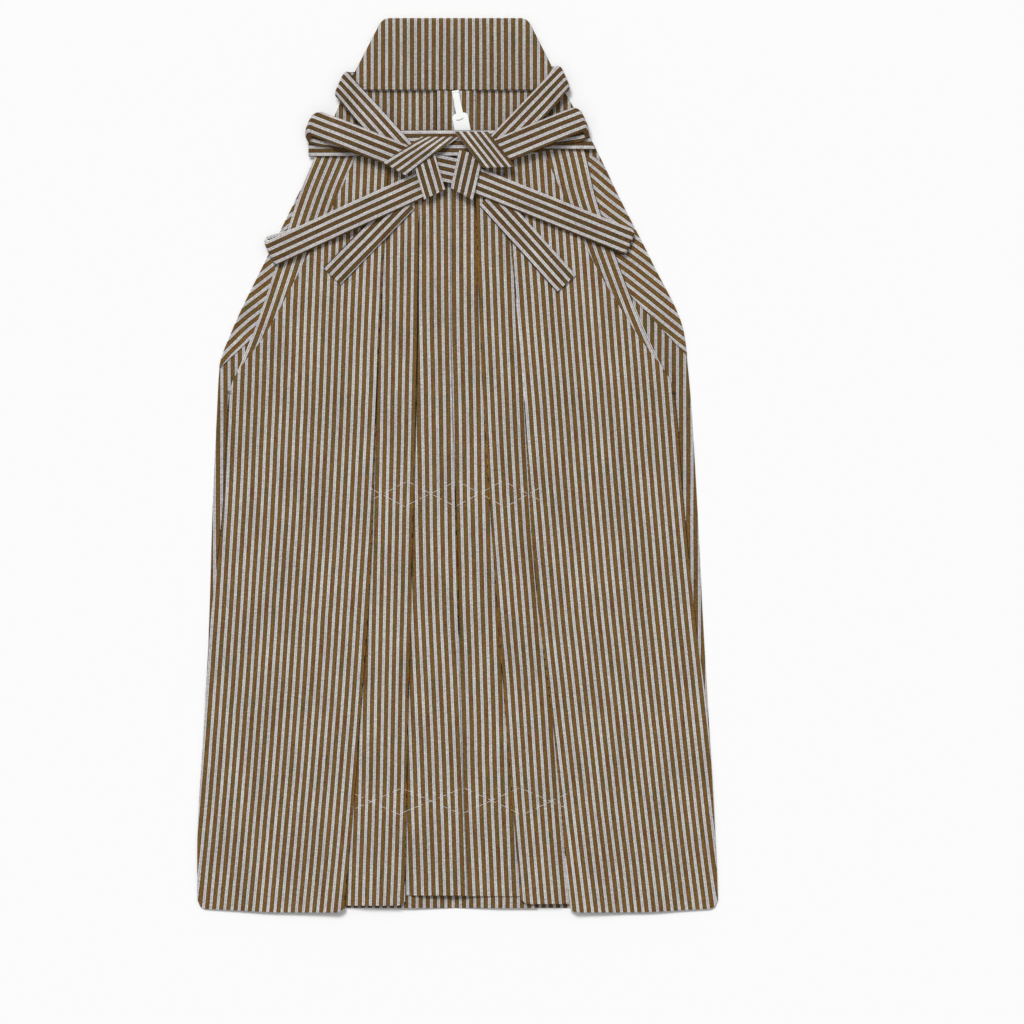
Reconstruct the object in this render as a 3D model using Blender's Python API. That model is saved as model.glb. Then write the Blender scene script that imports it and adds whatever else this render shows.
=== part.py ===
"""Striped, pleated hakama trousers laid flat, front up, with the ties folded over the waist.

The wearer's right is at -X, the waist is towards +Y, the hem at -Y, and the back lies on z = 0.
Sizes are metres. The tables hold millimetres, and the functions that read them turn these to metres.
"""

import math
from collections import namedtuple

import bmesh
import bpy
from mathutils import Vector

MM = 0.001

WALL = 1.0 * MM
GAP = 0.3 * MM
LAYER = WALL + GAP
TIE_THICKNESS = 1.6 * MM
TIE_WIDTH = 30.5 * MM

WAIST_Y = 391 * MM
BAND_WIDTH = 30.5 * MM
BAND_TOP_INSET = 3 * MM
PLEAT_TOP_Y = WAIST_Y - BAND_TOP_INSET
HEM_Y = -522 * MM
STOP_Y = 87 * MM
CENTRE_X = -2 * MM
HEM_CORNER = 11 * MM
HEM_SLOPE = 4 * MM
HEM_SLOPE_REACH = 100 * MM
HEM_CORNER_START = 0.9

# Outer edge of the back on the wearer's right and left, from the board down to the hem.
BackEdge = namedtuple("BackEdge", "y right left")
BACK_EDGES = (
    BackEdge(438, -131, 124),
    BackEdge(405, -145, 143),
    BackEdge(365, -163, 164),
    BackEdge(318, -185, 186),
    BackEdge(235, -226, 228),
    BackEdge(155, -264, 264),
    BackEdge(114, -278, 269),
    BackEdge(60, -281, 273.5),
    BackEdge(-50, -286, 280),
    BackEdge(-180, -290, 286.5),
    BackEdge(-300, -296, 293.5),
    BackEdge(-460, -304, 302),
    BackEdge(-522, -304, 304),
)

# Outer edge of the front's outermost panel: the leaf fold down to the stop, then the side seam.
FrontEdge = namedtuple("FrontEdge", "y right left")
FRONT_EDGES = (
    FrontEdge(391, -103, 88),
    FrontEdge(362, -118, 102),
    FrontEdge(318, -138, 122),
    FrontEdge(235, -180, 160),
    FrontEdge(155, -223, 208),
    FrontEdge(87, -265.5, 252),
    FrontEdge(-50, -273.5, 264),
    FrontEdge(-180, -288, 277.5),
    FrontEdge(-300, -296, 292.5),
    FrontEdge(-460, -304, 302),
    FrontEdge(-522, -304, 304),
)

# Edge of the front beside each side opening, which the leaf pleat's lower fold makes.
OpeningEdge = namedtuple("OpeningEdge", "y right left")
OPENING_EDGES = (
    OpeningEdge(391, -155, 142),
    OpeningEdge(362, -166, 150),
    OpeningEdge(318, -184, 160),
    OpeningEdge(235, -211, 188),
    OpeningEdge(155, -238, 219),
    OpeningEdge(87, -265.5, 252),
)

# The five front pleats: where each fold edge lies at the heights below, how far its cloth
# turns under at waist and hem, and how low the panel that ends there hangs.
FOLD_HEIGHTS = (391, 247, 111, -116, -329, -522)
Fold = namedtuple("Fold", "at depth_waist depth_hem hem")
FOLD_A = Fold((-80, -87, -94, -102, -117, -133), 12, 46, -522)
FOLD_B = Fold((-44, -46, -48, -54, -59, -62), 22, 40, -514)
FOLD_C = Fold((-9, -9, -8, -1, 3, 11), 24, 50, -502)
FOLD_D = Fold((17, 24, 29, 43, 59, 75), 22, 38, -512)
FOLD_E = Fold((50, 64, 76, 90, 115, 132), 16, 42, -522)
CENTRE_PANEL_HEM = -503
CENTRE_PANEL_INSET = 2 * MM

# The pleat by the centre back: distance of its fold from the centre line, and its depth.
BACK_FOLD_TOP = 4 * MM
BACK_FOLD_HEM = 48 * MM
BACK_DEPTH_TOP = 18 * MM
BACK_DEPTH_HEM = 46 * MM
BACK_SAG_START = 10 * MM
BACK_SAG_RANGE = 24 * MM
BACK_SAG_INSET = 3 * MM
BACK_TOP_Y = 437.6 * MM
BACK_HEM_Y = -517 * MM

BOARD_BOTTOM_Y = 438 * MM
BOARD_TOP_Y = 522 * MM
BOARD_BOTTOM = (-131 * MM, 124 * MM)
BOARD_TOP = (-87.5 * MM, 81.5 * MM)
BOARD_THICKNESS = 5 * MM
BOARD_CORNER = 9 * MM
CORNER_STEPS = 4
BOARD_BEVEL = 1.4 * MM

SPATULA_TOP = (-2.6 * MM, 437.4 * MM)
SPATULA_LEAN = math.radians(10.5)
SPATULA_THICKNESS = 1.6 * MM
SPATULA_BEVEL = 0.4 * MM
SPATULA_NECK = 8.5 * MM
SPATULA_BODY = 18.7 * MM
SPATULA_NECK_LENGTH = 27 * MM
SPATULA_LENGTH = 86 * MM
SPATULA_END_STEPS = 6

# How high the front lies: at its sides below and beside the openings, over the back's pleats,
# and over the spatula and the band's inner side at the waist.
SIDE_BED_LOW = LAYER
SIDE_BED_HIGH = 2 * LAYER
CENTRE_BED = 3 * LAYER
SPATULA_LAYER = SPATULA_THICKNESS + GAP
WAIST_BED = CENTRE_BED + SPATULA_LAYER + LAYER
BED_MARGIN = 14 * MM
BED_RAMP = 90 * MM
SIDE_RAMP = (55 * MM, 98 * MM)
WAIST_RAMP = (328 * MM, 358 * MM)

# Heights of the sections, closest at the waist and at the ends of the side openings.
FRONT_ROWS = (388, 372, 357, 342, 326, 300, 265, 235, 195, 155, 122, 96, 76, 52, 20, -50, -116,
              -180, -250, -329, -400, -460, -492, -513, -522)
BACK_ROWS = (437.6, 405, 365, 318, 275, 235, 195, 155, 128, 114, 100, 60, -50, -180, -300,
             -400, -460, -495, -510, -517)
LEAF_ROWS = FRONT_ROWS[:12]
PANEL_STEPS = 7
LEAF_STEPS = 5
LEAF_UNDERLAP = 22 * MM
LEAF_CLEARANCE = 3 * MM

TURN_IN_ANGLE = {"right": math.radians(43), "left": math.radians(180 - 47)}
TURN_IN_BOTTOM = {"right": 114 * MM, "left": 129 * MM}
TURN_IN_TOP = {"right": 322 * MM, "left": 350 * MM}
TURN_IN_WIDTH = {"right": (78 * MM, 46 * MM), "left": (122 * MM, 76 * MM)}
TURN_IN_CEILING = 360.5 * MM
TURN_IN_ROWS = 11
TURN_IN_INSET = 0.6 * MM

BAND_ENDS = (-174 * MM, 150 * MM)
# Towards the wearer's left the band narrows, and it ends along the slant of the side.
BAND_NARROWING = 8 * MM
BAND_NARROW_START = 70 * MM
BAND_NARROW_RANGE = 45 * MM
BAND_SLANT = 0.5
BAND_SLANT_START = 118 * MM
BAND_SLANT_RANGE = 30 * MM
BAND_ROWS = 23
BAND_TURN = 1.6 * MM
BAND_INNER_WIDTH = 29 * MM
BAND_END_FALL = 12 * MM

# A tie folded back on itself: its fold's place, the headings (degrees) of the upper and the
# lower run as they leave the fold, their lengths, how far the fold stands open, and how far
# the lower run slips out towards the hem at the fold and along what length.
Loop = namedtuple(
    "Loop", "name x y upper_heading upper_length lower_heading lower_length puff slip slip_reach"
)
LOOPS_AT_WAIST = (
    Loop("tie_right_upper_loop", -136.5, 445, -48, 125, 0, 9, 0.6, 0, 1),
    Loop("tie_left_upper_loop", 124.5, 452, 226.5, 128, 180, 8, 0.6, 0, 1),
    Loop("tie_right_wide_loop", -170, 400.5, -21.5, 126, -21.5, 88, 2.6, 9, 40),
    Loop("tie_left_wide_loop", 145, 405, 202.2, 112, 202.2, 84, 2.2, 10.5, 34),
)
LOOPS_BELOW = (
    Loop("tie_right_lower_loop", -217.5, 247, 24.5, 196, 24.5, 120, 1.2, -5, 26),
    Loop("tie_left_lower_loop", 200.5, 260.5, 158.2, 200, 158.2, 120, 1.2, 2, 50),
)

# A straight stretch of tie from one end to the other, with its width and the headings along
# which its two ends are cut (none: square).
Stretch = namedtuple("Stretch", "name x0 y0 x1 y1 width start_cut end_cut")
TAILS = (
    Stretch("tie_right_tail", -146.5, 220.5, -60, 309, 28, None, None),
    Stretch("tie_left_tail", 127, 212, 36, 313, 29.5, None, None),
)
KNOT_CENTRE = Stretch("tie_knot_centre", -41, 351, 17.5, 338, 30.5, None, None)
KNOT_HANGING = (
    Stretch("tie_right_hanging_wrap", -26.5, 315.5, -39.5, 360, 27, 206, None),
    Stretch("tie_left_hanging_wrap", 5, 316, 16, 364, 28.5, 151, None),
)
KNOT_WRAPS = (
    Stretch("tie_right_wrap", -73.5, 345, -20, 382.5, 26, 150, 180),
    Stretch("tie_left_wrap", 48.5, 347, 16, 388.5, 31, 182, 180),
)
TIE_STEP = 11 * MM
TIE_PROBES = (-0.06, 0.1, 0.3, 0.5, 0.7, 0.9, 1.06)
PUFF_REACH = 2.5
ROWS_OVER_FOLD = 2
REST_MARGIN = 3 * MM
FOLD_SEGMENTS = 6


def clamp(value):
    return min(1.0, max(0.0, value))


def smooth(value):
    t = clamp(value)
    return t * t * (3 - 2 * t)


def blend(low, high, share):
    return low + (high - low) * share


def curve_at(stations, values, place):
    """Smooth curve through values at falling stations, with no overshoot, read at place."""
    if place >= stations[0]:
        return values[0]
    if place <= stations[-1]:
        return values[-1]
    slopes = []
    for i in range(len(stations) - 1):
        slopes.append((values[i + 1] - values[i]) / (stations[i + 1] - stations[i]))
    i = next(k for k in range(len(slopes)) if place >= stations[k + 1])

    def tangent(k):
        if k in (0, len(slopes)):
            return slopes[min(k, len(slopes) - 1)]
        before, after = slopes[k - 1], slopes[k]
        if before * after <= 0:
            return 0.0
        return 2 * before * after / (before + after)

    width = stations[i + 1] - stations[i]
    t = (place - stations[i]) / width
    value = (2 * t ** 3 - 3 * t ** 2 + 1) * values[i] + (3 * t ** 2 - 2 * t ** 3) * values[i + 1]
    value += (t ** 3 - 2 * t ** 2 + t) * width * tangent(i)
    value += (t ** 3 - t ** 2) * width * tangent(i + 1)
    return value


def edge_at(table, side, y):
    stations = [row.y for row in table]
    values = [getattr(row, side) for row in table]
    return curve_at(stations, values, y / MM) * MM


def fold_at(fold, y):
    return curve_at(FOLD_HEIGHTS, fold.at, y / MM) * MM


def length_share(y):
    return clamp((WAIST_Y - y) / (WAIST_Y - HEM_Y))


def fold_depth(fold, y):
    return blend(fold.depth_waist, fold.depth_hem, length_share(y)) * MM


def back_fold(y):
    return blend(BACK_FOLD_TOP, BACK_FOLD_HEM, length_share(y))


def back_depth(y):
    return blend(BACK_DEPTH_TOP, BACK_DEPTH_HEM, length_share(y))


def bed(x, y):
    """Height of the front's lowest face at a place: over the back, its pleats and turned-in sides."""
    side = blend(SIDE_BED_LOW, SIDE_BED_HIGH, smooth((y - SIDE_RAMP[0]) / (SIDE_RAMP[1] - SIDE_RAMP[0])))
    rise = smooth((y - WAIST_RAMP[0]) / (WAIST_RAMP[1] - WAIST_RAMP[0]))
    centre = blend(CENTRE_BED, WAIST_BED, rise)
    reach = back_fold(y) + back_depth(y) + BED_MARGIN
    return blend(centre, side, smooth((abs(x - CENTRE_X) - reach) / BED_RAMP))


def edge_level(y):
    """Layers under the outer edge of the front's outermost panel: one beside the openings."""
    return smooth((y - SIDE_RAMP[0]) / (SIDE_RAMP[1] - SIDE_RAMP[0]))


def top_level(x, y):
    """Layers below the uppermost layer of the front at a place."""
    outer_right = edge_at(FRONT_EDGES, "right", y)
    outer_left = edge_at(FRONT_EDGES, "left", y)
    inner_right = fold_at(FOLD_A, y) - fold_depth(FOLD_A, y)
    inner_left = fold_at(FOLD_E, y) + fold_depth(FOLD_E, y)
    if x < inner_right:
        share = clamp((inner_right - x) / (inner_right - outer_right))
    else:
        share = clamp((x - inner_left) / (outer_left - inner_left))
    return blend(2.0, edge_level(y), share)


def make_material(name, colour, roughness):
    material = bpy.data.materials.new(name)
    material.use_nodes = True
    shader = material.node_tree.nodes["Principled BSDF"]
    shader.inputs["Base Color"].default_value = (*colour, 1)
    shader.inputs["Roughness"].default_value = roughness
    shader.inputs["Metallic"].default_value = 0
    return material


def add_object(name, mesh, material):
    mesh.materials.append(material)
    item = bpy.data.objects.new(name, mesh)
    bpy.context.scene.collection.objects.link(item)
    return item


def wall(name, middle, normals, thickness, material):
    """Closed wall of even thickness about a grid of middle points with a normal at each."""
    rows = len(middle)
    columns = len(middle[0])
    half = thickness / 2
    shape = bmesh.new()
    upper = []
    lower = []
    for line, line_normals in zip(middle, normals):
        upper.append([shape.verts.new(p + n * half) for p, n in zip(line, line_normals)])
        lower.append([shape.verts.new(p - n * half) for p, n in zip(line, line_normals)])
    for r in range(rows - 1):
        for c in range(columns - 1):
            shape.faces.new((upper[r][c], upper[r][c + 1], upper[r + 1][c + 1], upper[r + 1][c]))
            shape.faces.new((lower[r][c], lower[r + 1][c], lower[r + 1][c + 1], lower[r][c + 1]))
        for c in (0, columns - 1):
            shape.faces.new((upper[r][c], upper[r + 1][c], lower[r + 1][c], lower[r][c]))
    for r in (0, rows - 1):
        for c in range(columns - 1):
            shape.faces.new((upper[r][c], lower[r][c], lower[r][c + 1], upper[r][c + 1]))
    bmesh.ops.recalc_face_normals(shape, faces=shape.faces)
    mesh = bpy.data.meshes.new(name)
    shape.to_mesh(mesh)
    shape.free()
    return add_object(name, mesh, material)


def section_normals(line):
    """Normals across a line of points, square to it and to the run of the rows."""
    normals = []
    last = len(line) - 1
    for i, point in enumerate(line):
        before = line[max(0, i - 1)]
        after = line[min(last, i + 1)]
        ahead = (after - point).normalized() if i < last else Vector()
        behind = (point - before).normalized() if i > 0 else Vector()
        along = (ahead + behind).normalized()
        normals.append(Vector((-along.z, 0, along.x)))
    return normals


Column = namedtuple("Column", "x level hem bulge")


def knife_fold(columns, x, level, depth, hem, next_hem, sign):
    """Fold edge at x, the cloth turned under by depth, and the lower fold that ends it."""
    columns.append(Column(x, level, hem, 0))
    columns.append(Column(x, level - 0.5, hem, sign))
    columns.append(Column(x, level - 1, hem, 0))
    inner = x - sign * depth
    columns.append(Column(inner, level - 1, next_hem, 0))
    return inner


def front_leg_columns(side, y):
    """Section of one leg's front from its outer edge to the centre, as columns."""
    sign = 1 if side == "right" else -1
    folds = (FOLD_A, FOLD_B, FOLD_C) if side == "right" else (FOLD_E, FOLD_D)
    columns = []
    x = edge_at(FRONT_EDGES, side, y)
    level = edge_level(y)
    steps = PANEL_STEPS
    for number, fold in enumerate(folds):
        edge = fold_at(fold, y)
        depth = fold_depth(fold, y)
        inner = edge - sign * depth
        for i in range(steps):
            share = i / steps
            columns.append(Column(blend(x, inner, share), blend(level, 2, share), fold.hem, 0))
        columns.append(Column(inner, 2, fold.hem, 0))
        last = number == len(folds) - 1
        if last and side == "left":
            next_hem = CENTRE_PANEL_HEM
        elif last:
            next_hem = fold.hem
        else:
            next_hem = folds[number + 1].hem
        under = knife_fold(columns, edge, 2, depth, fold.hem, next_hem, sign)
        if last and side == "right":
            break
        columns.append(Column(under, 0.5, next_hem, -sign))
        columns.append(Column(under, 0, next_hem, 0))
        x = edge
        level = 0
        steps = 2
    if side == "left":
        centre_edge = fold_at(FOLD_C, y)
        hidden = centre_edge - fold_depth(FOLD_C, y) + CENTRE_PANEL_INSET
        for place in (x, blend(x, centre_edge, 0.5), centre_edge, blend(centre_edge, hidden, 0.5), hidden):
            columns.append(Column(place, 0, CENTRE_PANEL_HEM, 0))
    return columns


def hem_lift(distance, share):
    """How far a hem rises at a distance from its outer, rounded corner, as the hem is neared."""
    rise = HEM_SLOPE * (1 - smooth(distance / HEM_SLOPE_REACH))
    if distance < HEM_CORNER:
        rise += HEM_CORNER - math.sqrt(HEM_CORNER ** 2 - (HEM_CORNER - distance) ** 2)
    return rise * smooth((share - HEM_CORNER_START) / (1 - HEM_CORNER_START))


def front_leg(side, material):
    grid = []
    outer_hem = edge_at(FRONT_EDGES, side, HEM_Y)
    for row in FRONT_ROWS:
        y = row * MM
        share = (PLEAT_TOP_Y - y) / (PLEAT_TOP_Y - HEM_Y)
        line = []
        for column in front_leg_columns(side, y):
            x = column.x + column.bulge * LAYER / 2
            hem = column.hem * MM
            drop = blend(PLEAT_TOP_Y, hem, share)
            drop += hem_lift(abs(column.x - outer_hem), share)
            z = bed(column.x, y) + column.level * LAYER + WALL / 2
            line.append(Vector((x, drop, z)))
        grid.append(line)
    normals = [section_normals(line) for line in grid]
    return wall(f"front_{side}_leg", grid, normals, WALL, material)


def back_leg_columns(side, y):
    """Section of one leg's back from its outer edge to the centre seam."""
    sign = 1 if side == "right" else -1
    outer = edge_at(BACK_EDGES, side, y)
    edge = CENTRE_X - sign * back_fold(y)
    inner = edge - sign * back_depth(y)
    seam = CENTRE_X - sign * GAP / 2
    sag = smooth((back_fold(y) - BACK_SAG_START) / BACK_SAG_RANGE)
    columns = []
    for i in range(PANEL_STEPS - 2):
        columns.append(Column(blend(outer, inner, i / (PANEL_STEPS - 2)), 0, 0, 0))
    columns.append(Column(inner, 0, 0, 0))
    columns.append(Column(edge, 0, 0, 0))
    columns.append(Column(edge, 0.5, 0, sign))
    columns.append(Column(edge, 1, 0, 0))
    columns.append(Column(inner, 1, 0, 0))
    columns.append(Column(inner, 1.5, 0, -sign))
    columns.append(Column(inner, 2, 0, 0))
    columns.append(Column(edge - sign * BACK_SAG_INSET, 2, 0, 0))
    middle = blend(edge, seam, 0.5)
    columns.append(Column(middle, blend(2, 1, sag), 0, 0))
    columns.append(Column(seam, blend(2, 0, sag), 0, 0))
    return columns


def back_leg(side, material):
    grid = []
    outer_hem = edge_at(BACK_EDGES, side, BACK_HEM_Y)
    for row in BACK_ROWS:
        y = row * MM
        line = []
        for column in back_leg_columns(side, y):
            x = column.x + column.bulge * LAYER / 2
            share = clamp((BACK_TOP_Y - y) / (BACK_TOP_Y - BACK_HEM_Y))
            lift = hem_lift(abs(column.x - outer_hem), share)
            line.append(Vector((x, y + lift, column.level * LAYER + WALL / 2)))
        grid.append(line)
    normals = [section_normals(line) for line in grid]
    for line in normals:
        for i in range(PANEL_STEPS - 1):
            line[i] = Vector((0, 0, 1 if side == "right" else -1))
    return wall(f"back_{side}_leg", grid, normals, WALL, material)


def leaf_pleat(side, material):
    """Leaf-shaped lower layer of the pleat beside a side opening, narrowing to the stop."""
    sign = 1 if side == "right" else -1
    first_fold = FOLD_A if side == "right" else FOLD_E
    grid = []
    for row in LEAF_ROWS:
        y = row * MM
        outer = edge_at(OPENING_EDGES, side, y)
        fold = edge_at(FRONT_EDGES, side, y)
        under = blend(3 * MM, LEAF_UNDERLAP, clamp((y - STOP_Y) / (WAIST_Y - STOP_Y)))
        room = abs(fold_at(first_fold, y) - fold) - fold_depth(first_fold, y) - LEAF_CLEARANCE
        hidden = fold + sign * min(under, room)
        line = []
        for i in range(LEAF_STEPS + 1):
            x = blend(outer, hidden, i / LEAF_STEPS)
            line.append(Vector((x, y, bed(x, y) + WALL / 2)))
        grid.append(line)
    normals = [section_normals(line) for line in grid]
    return wall(f"front_{side}_leaf_pleat", grid, normals, WALL, material)


def turn_in(side, material):
    """Side of the back turned in over itself along the side opening, cut along its own edge."""
    angle = TURN_IN_ANGLE[side]
    along = Vector((math.cos(angle), math.sin(angle), 0))
    bottom = TURN_IN_BOTTOM[side]
    grid = []
    for i in range(TURN_IN_ROWS):
        share = i / (TURN_IN_ROWS - 1)
        y = blend(bottom, TURN_IN_TOP[side], share)
        sign = 1 if side == "right" else -1
        start = Vector((edge_at(BACK_EDGES, side, y) + sign * TURN_IN_INSET, y, LAYER + WALL / 2))
        width = min(blend(*TURN_IN_WIDTH[side], share), (TURN_IN_CEILING - y) / along.y)
        grid.append([start, start + along * width / 2, start + along * width])
    normals = [[Vector((0, 0, 1))] * 3] * TURN_IN_ROWS
    return wall(f"back_{side}_turn_in", grid, normals, WALL, material)


def band_lower(x):
    """Height on the garment of the band's lower edge."""
    return WAIST_Y - BAND_WIDTH + BAND_NARROWING * smooth((x - BAND_NARROW_START) / BAND_NARROW_RANGE)


def band_slant(x, y):
    """How far the band's rows have shifted sideways at a place below the waist."""
    return BAND_SLANT * (WAIST_Y - y) * smooth((x - BAND_SLANT_START) / BAND_SLANT_RANGE)


def band_heights(x):
    """Middle heights of the band's inner and outer side at a place along the waist."""
    low = bed(x, WAIST_Y) - LAYER + WALL / 2
    lower_y = WAIST_Y - BAND_WIDTH
    high = bed(x, lower_y) + (top_level(x, lower_y) + 1) * LAYER + WALL / 2
    opening = edge_at(OPENING_EDGES, "right" if x < CENTRE_X else "left", WAIST_Y - BAND_WIDTH / 2)
    beyond = abs(x - CENTRE_X) - abs(opening - CENTRE_X)
    fall = smooth(beyond / BAND_END_FALL + 0.5)
    return low, blend(high, low + 2 * LAYER, fall)


def waistband(material):
    """Band folded over the pleats' top edge: inner side, rounded top and outer side."""
    grid = []
    normals = []
    for i in range(BAND_ROWS):
        x = blend(BAND_ENDS[0], BAND_ENDS[1], i / (BAND_ROWS - 1))
        low, high = band_heights(x)
        outer_y = band_lower(x)
        inner_y = outer_y + BAND_WIDTH - BAND_INNER_WIDTH
        profile = (
            (inner_y, low),
            (WAIST_Y - BAND_TURN, low),
            (WAIST_Y - WALL / 2, blend(low, high, 0.3)),
            (WAIST_Y - WALL / 2, blend(low, high, 0.7)),
            (WAIST_Y - BAND_TURN, high),
            (outer_y, high),
        )
        line = [Vector((x + band_slant(x, y), y, z)) for y, z in profile]
        grid.append(line)
        flat = [Vector((p.y, 0, p.z)) for p in line]
        normals.append([Vector((0, n.x, n.z)) for n in section_normals(flat)])
    return wall("front_waistband", grid, normals, WALL, material)


def prism(name, outline, z_low, thickness, bevel, material):
    """Flat piece with the given outline, raised from z_low, its top and bottom edges eased."""
    shape = bmesh.new()
    base = shape.faces.new([shape.verts.new((x, y, z_low)) for x, y in outline])
    raised = bmesh.ops.extrude_face_region(shape, geom=[base])
    moved = [item for item in raised["geom"] if isinstance(item, bmesh.types.BMVert)]
    bmesh.ops.translate(shape, verts=moved, vec=(0, 0, thickness))
    bmesh.ops.recalc_face_normals(shape, faces=shape.faces)
    level = [e for e in shape.edges if abs(e.verts[0].co.z - e.verts[1].co.z) < thickness / 2]
    bmesh.ops.bevel(shape, geom=level, offset=bevel, segments=2, profile=0.5, affect="EDGES")
    mesh = bpy.data.meshes.new(name)
    shape.to_mesh(mesh)
    shape.free()
    return add_object(name, mesh, material)


def rounded(corners, steps):
    """Outline through corners (x, y, radius), each replaced by a curve that starts radius from it."""
    outline = []
    count = len(corners)
    for i, (x, y, radius) in enumerate(corners):
        here = Vector((x, y))
        if radius == 0:
            outline.append((x, y))
            continue
        before = Vector(corners[i - 1][:2])
        after = Vector(corners[(i + 1) % count][:2])
        start = here + (before - here).normalized() * radius
        end = here + (after - here).normalized() * radius
        for k in range(steps + 1):
            t = k / steps
            point = start * (1 - t) ** 2 + here * 2 * t * (1 - t) + end * t ** 2
            outline.append((point.x, point.y))
    return outline


def back_board(material):
    corners = (
        (BOARD_BOTTOM[0], BOARD_BOTTOM_Y, 0),
        (BOARD_BOTTOM[1], BOARD_BOTTOM_Y, 0),
        (BOARD_TOP[1], BOARD_TOP_Y, BOARD_CORNER),
        (BOARD_TOP[0], BOARD_TOP_Y, BOARD_CORNER),
    )
    outline = rounded(corners, CORNER_STEPS)
    return prism("back_board", outline, 0, BOARD_THICKNESS, BOARD_BEVEL, material)


def spatula(material):
    """Flat tongue: a narrow neck, round shoulders and a broad body with a round end."""
    neck = SPATULA_NECK / 2
    body = SPATULA_BODY / 2
    shoulder = SPATULA_NECK_LENGTH
    half = [(neck, 0), (neck, -shoulder)]
    for k in range(CORNER_STEPS):
        turn = math.radians(90 * (k + 1) / CORNER_STEPS)
        half.append((blend(neck, body, math.sin(turn)), -shoulder - (body - neck) * (1 - math.cos(turn))))
    end_centre = -(SPATULA_LENGTH - body)
    for k in range(SPATULA_END_STEPS + 1):
        turn = math.radians(90 * k / SPATULA_END_STEPS)
        half.append((body * math.cos(turn), end_centre - body * math.sin(turn)))
    whole = half + [(-x, y) for x, y in reversed(half[:-1])]
    outline = []
    for x, y in whole:
        across = x * math.cos(SPATULA_LEAN) - y * math.sin(SPATULA_LEAN)
        down = x * math.sin(SPATULA_LEAN) + y * math.cos(SPATULA_LEAN)
        outline.append((SPATULA_TOP[0] + across, SPATULA_TOP[1] + down))
    return prism("spatula", outline, CENTRE_BED, SPATULA_THICKNESS, SPATULA_BEVEL, material)


def board_side(side, y):
    share = (y - BOARD_BOTTOM_Y) / (BOARD_TOP_Y - BOARD_BOTTOM_Y)
    index = 0 if side == "right" else 1
    return blend(BOARD_BOTTOM[index], BOARD_TOP[index], share)


def cloth_top(x, y):
    """Top of the garment's own cloth or board at a place, without the ties."""
    side = "right" if x < CENTRE_X else "left"
    if y > BOARD_BOTTOM_Y - BOARD_BEVEL:
        inside = board_side("right", y) - REST_MARGIN < x < board_side("left", y) + REST_MARGIN
        return BOARD_THICKNESS if inside else 0.0
    out = 1 if side == "left" else -1
    if y > band_lower(x) - REST_MARGIN and y < WAIST_Y + REST_MARGIN:
        row = x - band_slant(x, y)
        if BAND_ENDS[0] - REST_MARGIN < row < BAND_ENDS[1] + REST_MARGIN:
            return band_heights(row)[1] + WALL / 2
    if y < WAIST_Y and (edge_at(FRONT_EDGES, side, y) - x) * out > -REST_MARGIN:
        return bed(x, y) + top_level(x, y) * LAYER + WALL
    if y < WAIST_Y and (edge_at(OPENING_EDGES, side, y) - x) * out > -REST_MARGIN and y > STOP_Y:
        return bed(x, y) + WALL
    if (edge_at(BACK_EDGES, side, y) - x) * out > -REST_MARGIN:
        reach = back_fold(y) + back_depth(y) + REST_MARGIN
        return 3 * LAYER if abs(x - CENTRE_X) < reach else 2 * LAYER
    return 0.0


Row = namedtuple("Row", "a b z")
placed_rows = []


def inside_cell(point, corners):
    """Whether a point lies in a four-cornered cell, seen from above."""
    signs = []
    for i, corner in enumerate(corners):
        after = corners[(i + 1) % 4]
        cross = (after.x - corner.x) * (point.y - corner.y) - (after.y - corner.y) * (point.x - corner.x)
        signs.append(cross >= 0)
    return all(signs) or not any(signs)


def stack_top(point):
    """Top of everything laid so far at a point seen from above."""
    top = cloth_top(point.x, point.y)
    for rows in placed_rows:
        for first, second in zip(rows, rows[1:]):
            if inside_cell(point, (first.a, first.b, second.b, second.a)):
                top = max(top, max(first.z, second.z) + TIE_THICKNESS / 2)
    return top


def settle(pairs):
    """Heights at which a tie's rows rest on the stack, eased along its length."""
    raw = []
    for a, b in pairs:
        tops = [stack_top(a + (b - a) * share) for share in TIE_PROBES]
        raw.append(max(tops) + GAP + TIE_THICKNESS / 2)
    last = len(raw) - 1
    spread = [max(raw[max(0, i - 1)], raw[i], raw[min(last, i + 1)]) for i in range(len(raw))]
    eased = [spread[0]]
    for i in range(1, last):
        eased.append(max(spread[i], (spread[i - 1] + spread[i] + spread[i + 1]) / 3))
    eased.append(spread[last])
    rows = [Row(a, b, z) for (a, b), z in zip(pairs, eased)]
    placed_rows.append(rows)
    return rows


def strip_pairs(start, end, width, start_cut, end_cut):
    """Edge points of a straight stretch of tie, its ends turned to the given directions."""
    run = end - start
    count = max(2, round(run.length / TIE_STEP) + 1)
    across = Vector((-run.y, run.x)).normalized()
    pairs = []
    for i in range(count):
        share = i / (count - 1)
        centre = start.lerp(end, share)
        cut = start_cut.lerp(end_cut, share) if start_cut and end_cut else across
        if start_cut and not end_cut:
            cut = start_cut.lerp(across, smooth(share * 2))
        if end_cut and not start_cut:
            cut = across.lerp(end_cut, smooth(share * 2 - 1))
        cut = cut.normalized()
        reach = width / 2 / cut.dot(across)
        pairs.append((centre - cut * reach, centre + cut * reach))
    return pairs


def heading(degrees):
    angle = math.radians(degrees)
    return Vector((math.cos(angle), math.sin(angle)))


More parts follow.
